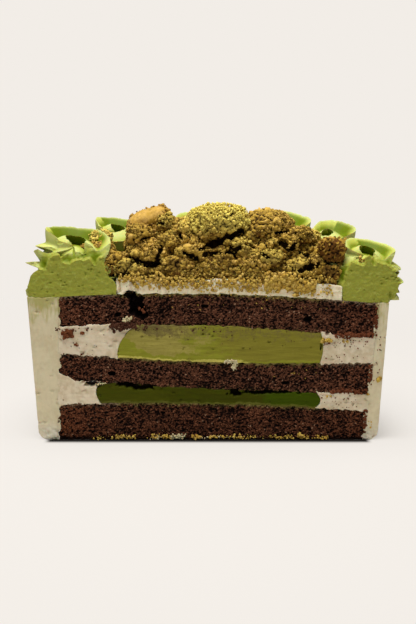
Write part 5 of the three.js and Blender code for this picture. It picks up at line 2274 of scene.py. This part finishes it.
@dataclass(frozen=True)
class Cluster:
    """A cluster of crumbs on the cut: how many, where, how far it spreads and how large they are."""

    count: int
    x: float
    z: float
    spread_x: float
    spread_z: float
    size: float = 0.45
    y: float = 0.12

    def draw(self, chance: np.random.Generator) -> tuple[Array, Array]:
        """Places and sizes by chance, thickest in the middle."""
        x = self.x + self.spread_x * chance.uniform(-1, 1, self.count)
        z = self.z + self.spread_z * np.clip(chance.normal(0, 0.5, self.count), -1.1, 1.1)
        y = self.y + (0.22 + 0.1 * self.y) * chance.uniform(-1, 1, self.count)
        return np.stack([x, y, z], axis=1), self.size * (0.5 + 0.9 * chance.uniform(0, 1, self.count) ** 2)


FOOT_GOLD = (
    Cluster(60, -41, 1.5, 5, 1.1, 0.5),
    Cluster(14, -52, 1.0, 5, 0.8, 0.5),
    Cluster(60, -23, 1.7, 5, 1.3, 0.5),
    Cluster(16, -6.5, 1.5, 3, 1.2, 0.7),
    Cluster(90, 11.5, 1.6, 12, 1.2, 0.5),
    Cluster(44, 36.5, 1.5, 6, 1.0, 0.45),
    Cluster(20, 47, 2.4, 3, 1.6, 0.7),
    Cluster(16, 56.5, 1.3, 3, 0.8, 0.7),
    Cluster(40, 10, 1.2, 66, 1.0, 0.4),
)
FOOT_PALE = (
    Cluster(56, -15, 1.8, 4, 1.3, 0.5),
    Cluster(16, -26, 1.2, 3, 0.8, 0.6),
    Cluster(12, 5, 1.4, 8, 1.0),
)
SPILLED = (
    Cluster(200, 8, 82.0, 50, 2.4, 0.7),
    Cluster(60, -37, 82.5, 5, 2.6, 0.7),
    Cluster(170, -16, 80.0, 12, 3.0, 0.75),
    Cluster(90, 0, 79.0, 8, 3.0, 0.7),
    Cluster(170, 16, 79.2, 9, 3.0, 0.75),
    Cluster(300, 34, 80.0, 7, 4.2, 0.95),
    Cluster(80, 24, 76.8, 9, 1.4, 0.5),
    Cluster(170, 45.5, 78.0, 5, 3.6, 0.95),
    Cluster(30, 54, 76.0, 5, 3.0, 0.6),
    Cluster(50, 10, 75.0, 40, 3.0, 0.4),
    Cluster(60, -31, 80.5, 4, 2.4, 0.75),
)
PERCHED = (
    Cluster(26, 73.0, 90.4, 2.2, 1.4, 0.7, 2.6),
    Cluster(44, 68.0, 95.5, 3.2, 1.6, 0.85, 21.0),
    Cluster(20, 61.5, 97.5, 2.5, 1.5, 0.7, 16.0),
    Cluster(24, -57.5, 95.5, 3.5, 1.3, 0.7, 14.0),
)
SCATTERED_GOLD = (
    Cluster(26, 56.8, 51.8, 2.3, 1.3, 0.8),
    Cluster(8, 66.0, 51.2, 1.2, 1.2, 0.6),
    Cluster(6, 59.0, 22.5, 1.5, 1.0, 0.6),
    Cluster(4, 78.0, 24.0, 0.8, 0.8, 0.6),
    Cluster(7, 83.5, 32.0, 1.0, 1.0, 0.9),
    Cluster(10, 79, 12.0, 2.0, 9.0, 0.4),
    Cluster(12, 40, 68.5, 30, 4.5, 0.3),
    Cluster(10, 8, 69.0, 26, 3.5, 0.3),
    Cluster(9, 42, 34.0, 12, 3.0, 0.35),
)
CHOCOLATE = (
    Cluster(90, -40.5, 58.8, 6, 2.4, 0.95),
    Cluster(26, -30, 58.0, 6, 1.2, 0.5),
    Cluster(22, -64, 57.0, 9, 0.9, 0.5),
    Cluster(12, -62, 50.0, 9, 3.0, 0.35),
    Cluster(14, -64, 44.5, 9, 1.0, 0.4),
    Cluster(12, -66, 18.5, 7, 1.0, 0.4),
    Cluster(50, 10, 57.2, 42, 1.4, 0.45),
    Cluster(26, 20, 51.0, 40, 4.0, 0.3),
)
REDDISH = (
    Cluster(110, 70, 54.3, 9, 1.3, 0.75),
    Cluster(60, 66, 50.5, 11, 3.2, 0.42),
    Cluster(70, 69, 25.6, 9, 1.1, 0.7),
    Cluster(22, 64, 21.5, 9, 2.2, 0.4),
    Cluster(16, 82, 45.0, 1.4, 16.0, 0.4),
    Cluster(16, 66, 43.2, 10, 1.2, 0.4),
    Cluster(9, 68, 17.8, 9, 1.2, 0.4),
    Cluster(60, 80.3, 62.0, 0.7, 7.0, 0.6),
    Cluster(50, 78.9, 35.0, 0.7, 6.0, 0.6),
    Cluster(50, 77.6, 9.0, 0.7, 6.0, 0.6),
    Cluster(5, -31.5, 67.5, 1.4, 1.5, 0.7),
)
BAKED = (
    Cluster(90, -67.2, 54.6, 2.5, 2.0, 0.85),
    Cluster(7, -60.3, 55.4, 0.7, 1.2, 0.6),
    Cluster(8, -63.4, 49.9, 0.8, 1.0, 0.6),
    Cluster(34, -70, 6.5, 2.6, 3.2, 0.6),
)
WHITE = (
    Cluster(30, -38.1, 62.1, 2.0, 1.0, 0.7),
    Cluster(70, 11.0, 41.0, 3.0, 1.0, 0.5),
    Cluster(40, 13.0, 38.3, 1.2, 1.7, 0.5),
    Cluster(16, -52, 29.5, 3, 0.8),
)
LOOSE_CHOCOLATE = SpongeFinish("loose_chocolate", (0.045, 0.014, 0.0065), pale=(0.19, 0.085, 0.05))
# Golden crumbs: paler than the heap's crumble, partly their own colour and partly painted light that offsets
# the shade on the front where most of them lie.
GOLDEN_FINISH = CrumbleFinish("golden_crumbs", (0.52, 0.305, 0.045), (0.20, 0.092, 0.014), (0.70, 0.47, 0.13))
BAKED_FINISH = SpongeFinish("baked_crumb", (0.15, 0.045, 0.015), (0.05, 0.012, 0.004), (0.28, 0.11, 0.045))
REDDISH_FINISH = SpongeFinish(
    "reddish_crumb", (0.13, 0.036, 0.014), (0.05, 0.012, 0.004), (0.26, 0.10, 0.045)
)
PALE_FINISH = CreamFinish("cream_flecks", (0.66, 0.56, 0.33), (0.45, 0.36, 0.18))


@dataclass(frozen=True)
class FallenCrumbs:
    """Crumbs that the knife and the heap left on the cut, one piece for each kind."""

    def gather(self, clusters: Sequence[Cluster], seed: int) -> Shape:
        """The crumbs of some clusters as one shape, with a tint and a little dust for each.

        Args:
            clusters: the clusters.
            seed: picks other crumbs.

        Returns:
            The shape.
        """
        chance = np.random.default_rng(seed)
        drawn = [cluster.draw(chance) for cluster in clusters]
        places = np.concatenate([d[0] for d in drawn])
        sizes = np.concatenate([d[1] for d in drawn])
        shape = Shape()
        tint = chance.uniform(0.3, 0.95, len(places))
        dust = chance.uniform(0, 0.35, len(places))
        scatter_grains(shape, places, sizes, seed, tint=tint, dust=dust)
        return shape

    def build(self, kitchen: Kitchen) -> None:
        """Makes every kind of crumb."""
        golden = self.gather((*SPILLED, *FOOT_GOLD, *SCATTERED_GOLD, *PERCHED), 301)
        kinds = (
            ("crumbs_golden", golden, GOLDEN_FINISH, Slot.CRUMBLE),
            ("crumbs_chocolate", self.gather(CHOCOLATE, 302), LOOSE_CHOCOLATE, Slot.SPONGE),
            ("crumbs_baked", self.gather(BAKED, 303), BAKED_FINISH, Slot.SPONGE),
            ("crumbs_reddish", self.gather(REDDISH, 305), REDDISH_FINISH, Slot.SPONGE),
            ("crumbs_pale", self.gather((*WHITE, *FOOT_PALE), 304), PALE_FINISH, Slot.CREAM),
        )
        for name, shape, finish, slot in kinds:
            kitchen.serve(shape.build(name, kitchen.layout), finish, slot)


# Studio


@dataclass(frozen=True)
class Studio:
    """The floor, the light and the camera."""

    layout: Layout
    paper: Colour = (0.888, 0.847, 0.799)
    aim_height: float = 65.8
    elevation: float = 15.0
    distance: float = 380.0
    lens: float = 46.12
    sky: float = 0.25
    floor_colour: Colour = (0.68, 0.65, 0.615)
    floor_glow: float = 0.8
    key_power: float = 6.4
    key_place: tuple[float, float, float] = (-35, -38, 660)
    key_size: float = 420.0

    def build(self) -> None:
        """Makes all three."""
        self.make_world()
        self.make_floor()
        self.make_lights()
        self.make_camera()

    def make_world(self) -> None:
        """A paper coloured background that lights the scene more softly than it shows."""
        world = bpy.data.worlds.new("studio")
        bpy.context.scene.world = world
        world.use_nodes = True
        graph = Graph(world.node_tree)
        shown = world.node_tree.nodes["Background"]
        lit = graph.node("ShaderNodeBackground")
        shown.inputs["Color"].default_value = (*self.paper, 1)
        lit.inputs["Color"].default_value = (1.0, 0.985, 0.955, 1)
        lit.inputs["Strength"].default_value = self.sky
        mix = graph.node("ShaderNodeMixShader")
        graph.put(mix.inputs[0], graph.node("ShaderNodeLightPath").outputs["Is Camera Ray"])
        graph.put(mix.inputs[1], lit.outputs[0])
        graph.put(mix.inputs[2], shown.outputs[0])
        graph.put(world.node_tree.nodes["World Output"].inputs["Surface"], mix.outputs[0])

    def make_floor(self) -> None:
        """A wide pale floor that fades into the background away from the cake, with a painted contact shadow
        along the cut's foot and a painted strengthening of the shadow beside the cake.
        """
        shape = Shape()
        x, y = np.meshgrid(np.linspace(-4000, 4000, 9), np.linspace(-4000, 4000, 9))
        shape.skin(shape.add(np.stack([x, y, np.full_like(x, -0.05)], axis=-1)))
        floor = shape.build("floor", self.layout)
        material, graph, shader = new_material("paper_floor")
        set_constants(shader, Roughness=0.9, Specular_IOR_Level=0.0)
        glow = graph.node("ShaderNodeEmission")
        glow.inputs["Color"].default_value = (*self.paper, 1)
        distance = graph.node("ShaderNodeVectorMath", operation="LENGTH")
        graph.put(distance.inputs[0], graph.place())
        seen = graph.node("ShaderNodeLightPath").outputs["Is Camera Ray"]
        share = graph.ramp(distance.outputs["Value"], 0.12, 0.30, self.floor_glow, 1.0)
        x, y, _ = graph.axes()
        aside = graph.math("ABSOLUTE", graph.less(x, self.layout.x * MM))
        front = self.layout.y * MM
        # Painted contact shadow: a thin near-black strip on the floor along the foot of the cut, without
        # glow.
        near = graph.times(graph.ramp(y, front - 0.0048, front - 0.001), graph.ramp(y, front + 0.01, front))
        line = graph.times(near, graph.ramp(aside, 0.082, 0.078))
        free = graph.less(1.0, line)
        # Near the cake, most at its right, less glow lets more of the lit floor and its real shadow show: a
        # painted strengthening of that shadow.
        behind = graph.math("MAXIMUM", graph.less(y, front), 0.0)
        away = graph.math("SQRT", graph.plus(graph.times(aside, aside), graph.times(behind, behind)))
        soft = graph.times(graph.ramp(away, 0.112, 0.074), graph.ramp(y, front - 0.002, front + 0.006))
        right = graph.ramp(x, self.layout.x * MM - 0.08, self.layout.x * MM + 0.08, 0.12, 0.5)
        share = graph.less(share, graph.times(soft, right))
        graph.put(shader.inputs["Base Color"], graph.mix(line, self.floor_colour, (0.02, 0.018, 0.016)))
        mix = graph.node("ShaderNodeMixShader")
        graph.put(mix.inputs[0], graph.times(graph.times(seen, share), free))
        graph.put(mix.inputs[1], shader.outputs[0])
        graph.put(mix.inputs[2], glow.outputs[0])
        graph.put(material.node_tree.nodes["Material Output"].inputs["Surface"], mix.outputs[0])
        floor.data.materials.append(material)

    def make_lights(self) -> None:
        """A large soft key from overhead and left."""
        data = bpy.data.lights.new("key", "AREA")
        data.size = self.key_size * MM
        data.energy = self.key_power
        data.color = (1.0, 0.985, 0.96)
        lamp = bpy.data.objects.new("key", data)
        lamp.location = self.layout.metres(np.array(self.key_place))
        target = Vector(self.layout.metres(np.array((0, 35, 60))))
        lamp.rotation_euler = (target - lamp.location).to_track_quat("-Z", "Y").to_euler()
        bpy.context.scene.collection.objects.link(lamp)

    def make_camera(self) -> None:
        """The camera at the photograph's place, looking level across and a little down."""
        data = bpy.data.cameras.new("camera")
        data.lens = self.lens
        data.clip_end = 20
        camera = bpy.data.objects.new("camera", data)
        angle = math.radians(self.elevation)
        aim = np.array((0.0, 0.0, self.aim_height))
        back = np.array((0.0, -math.cos(angle), math.sin(angle)))
        camera.location = self.layout.metres(aim + self.distance * back)
        camera.rotation_euler = (math.pi / 2 - angle, 0, 0)
        bpy.context.scene.collection.objects.link(camera)
        bpy.context.scene.camera = camera


LIGHT_FINISH = FillingFinish(
    "matcha_filling_light",
    ground=(0.25, 0.26, 0.026),
    pale=(0.345, 0.295, 0.072),
    brown=(0.225, 0.20, 0.028),
    rim=(0.60, 0.54, 0.12),
    dots=(0.13, 0.12, 0.012),
    dirt=(0.15, 0.115, 0.045),
)
DARK_FINISH = FillingFinish(
    "matcha_filling_dark",
    ground=(0.047, 0.0505, 0.0022),
    pale=(0.058, 0.062, 0.0028),
    brown=(0.042, 0.070, 0.0012),
    rim=(0.12, 0.12, 0.02),
    dots=(0.030, 0.036, 0.0015),
    dirt=(0.030, 0.026, 0.0030),
    dot_share=0.01,
)


def main() -> None:
    """Builds the cake's pieces in order, bottom to top, then the studio."""
    logging.basicConfig(level=logging.INFO, format="%(name)s %(message)s", stream=sys.stdout)
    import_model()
    layout = Layout.from_frame()
    Studio(layout).build()
    bpy.context.scene.view_settings.view_transform = "Standard"
    kitchen = Kitchen(layout, Effects())
    ring_cream = CreamFinish("cream_ring", (0.73, 0.63, 0.46), (0.58, 0.475, 0.305), smears=0.3)
    redder = SpongeFinish("chocolate_sponge_bottom", (0.066, 0.0195, 0.0082), pale=(0.34, 0.140, 0.070))
    SpongeLayer("sponge_bottom", BASE, BOTTOM_TOP, 100, BOTTOM_PITS, redder).build(kitchen)
    Filling(
        "filling_lower", "cream_ring_lower", BOTTOM_TOP, MIDDLE_BASE, centre=-1.3, radius=54.5, bulge=2.4,
        left_foot=3, left_top=3, finish=DARK_FINISH, ring_finish=ring_cream, slot=Slot.DARK, seed=200,
        marks=dark_marks, holes=SLITS, left_rise=4.2,
    ).build(kitchen)
    SpongeLayer("sponge_middle", MIDDLE_BASE, MIDDLE_TOP, 300, SLITS + MIDDLE_PITS).build(kitchen)
    Filling(
        "filling_upper", "cream_ring_upper", MIDDLE_TOP, TOP_BASE, centre=5, radius=49.4, bulge=1.5,
        left_foot=0.5, left_top=9, finish=LIGHT_FINISH, ring_finish=ring_cream, slot=Slot.LIGHT, seed=400,
        marks=light_marks,
    ).build(kitchen)
    SpongeLayer("sponge_top", TOP_BASE, TOP_TOP, 500, TORN).build(kitchen)
    Coat().build(kitchen)
    TopCream().build(kitchen)
    Piping().build(kitchen)
    heap = Heap()
    lumps = heap.build(kitchen)
    LooseGrains().build(kitchen, lumps, heap)
    FallenCrumbs().build(kitchen)
    log.info("%d pieces", kitchen.made)


if __name__ == "__main__":
    main()
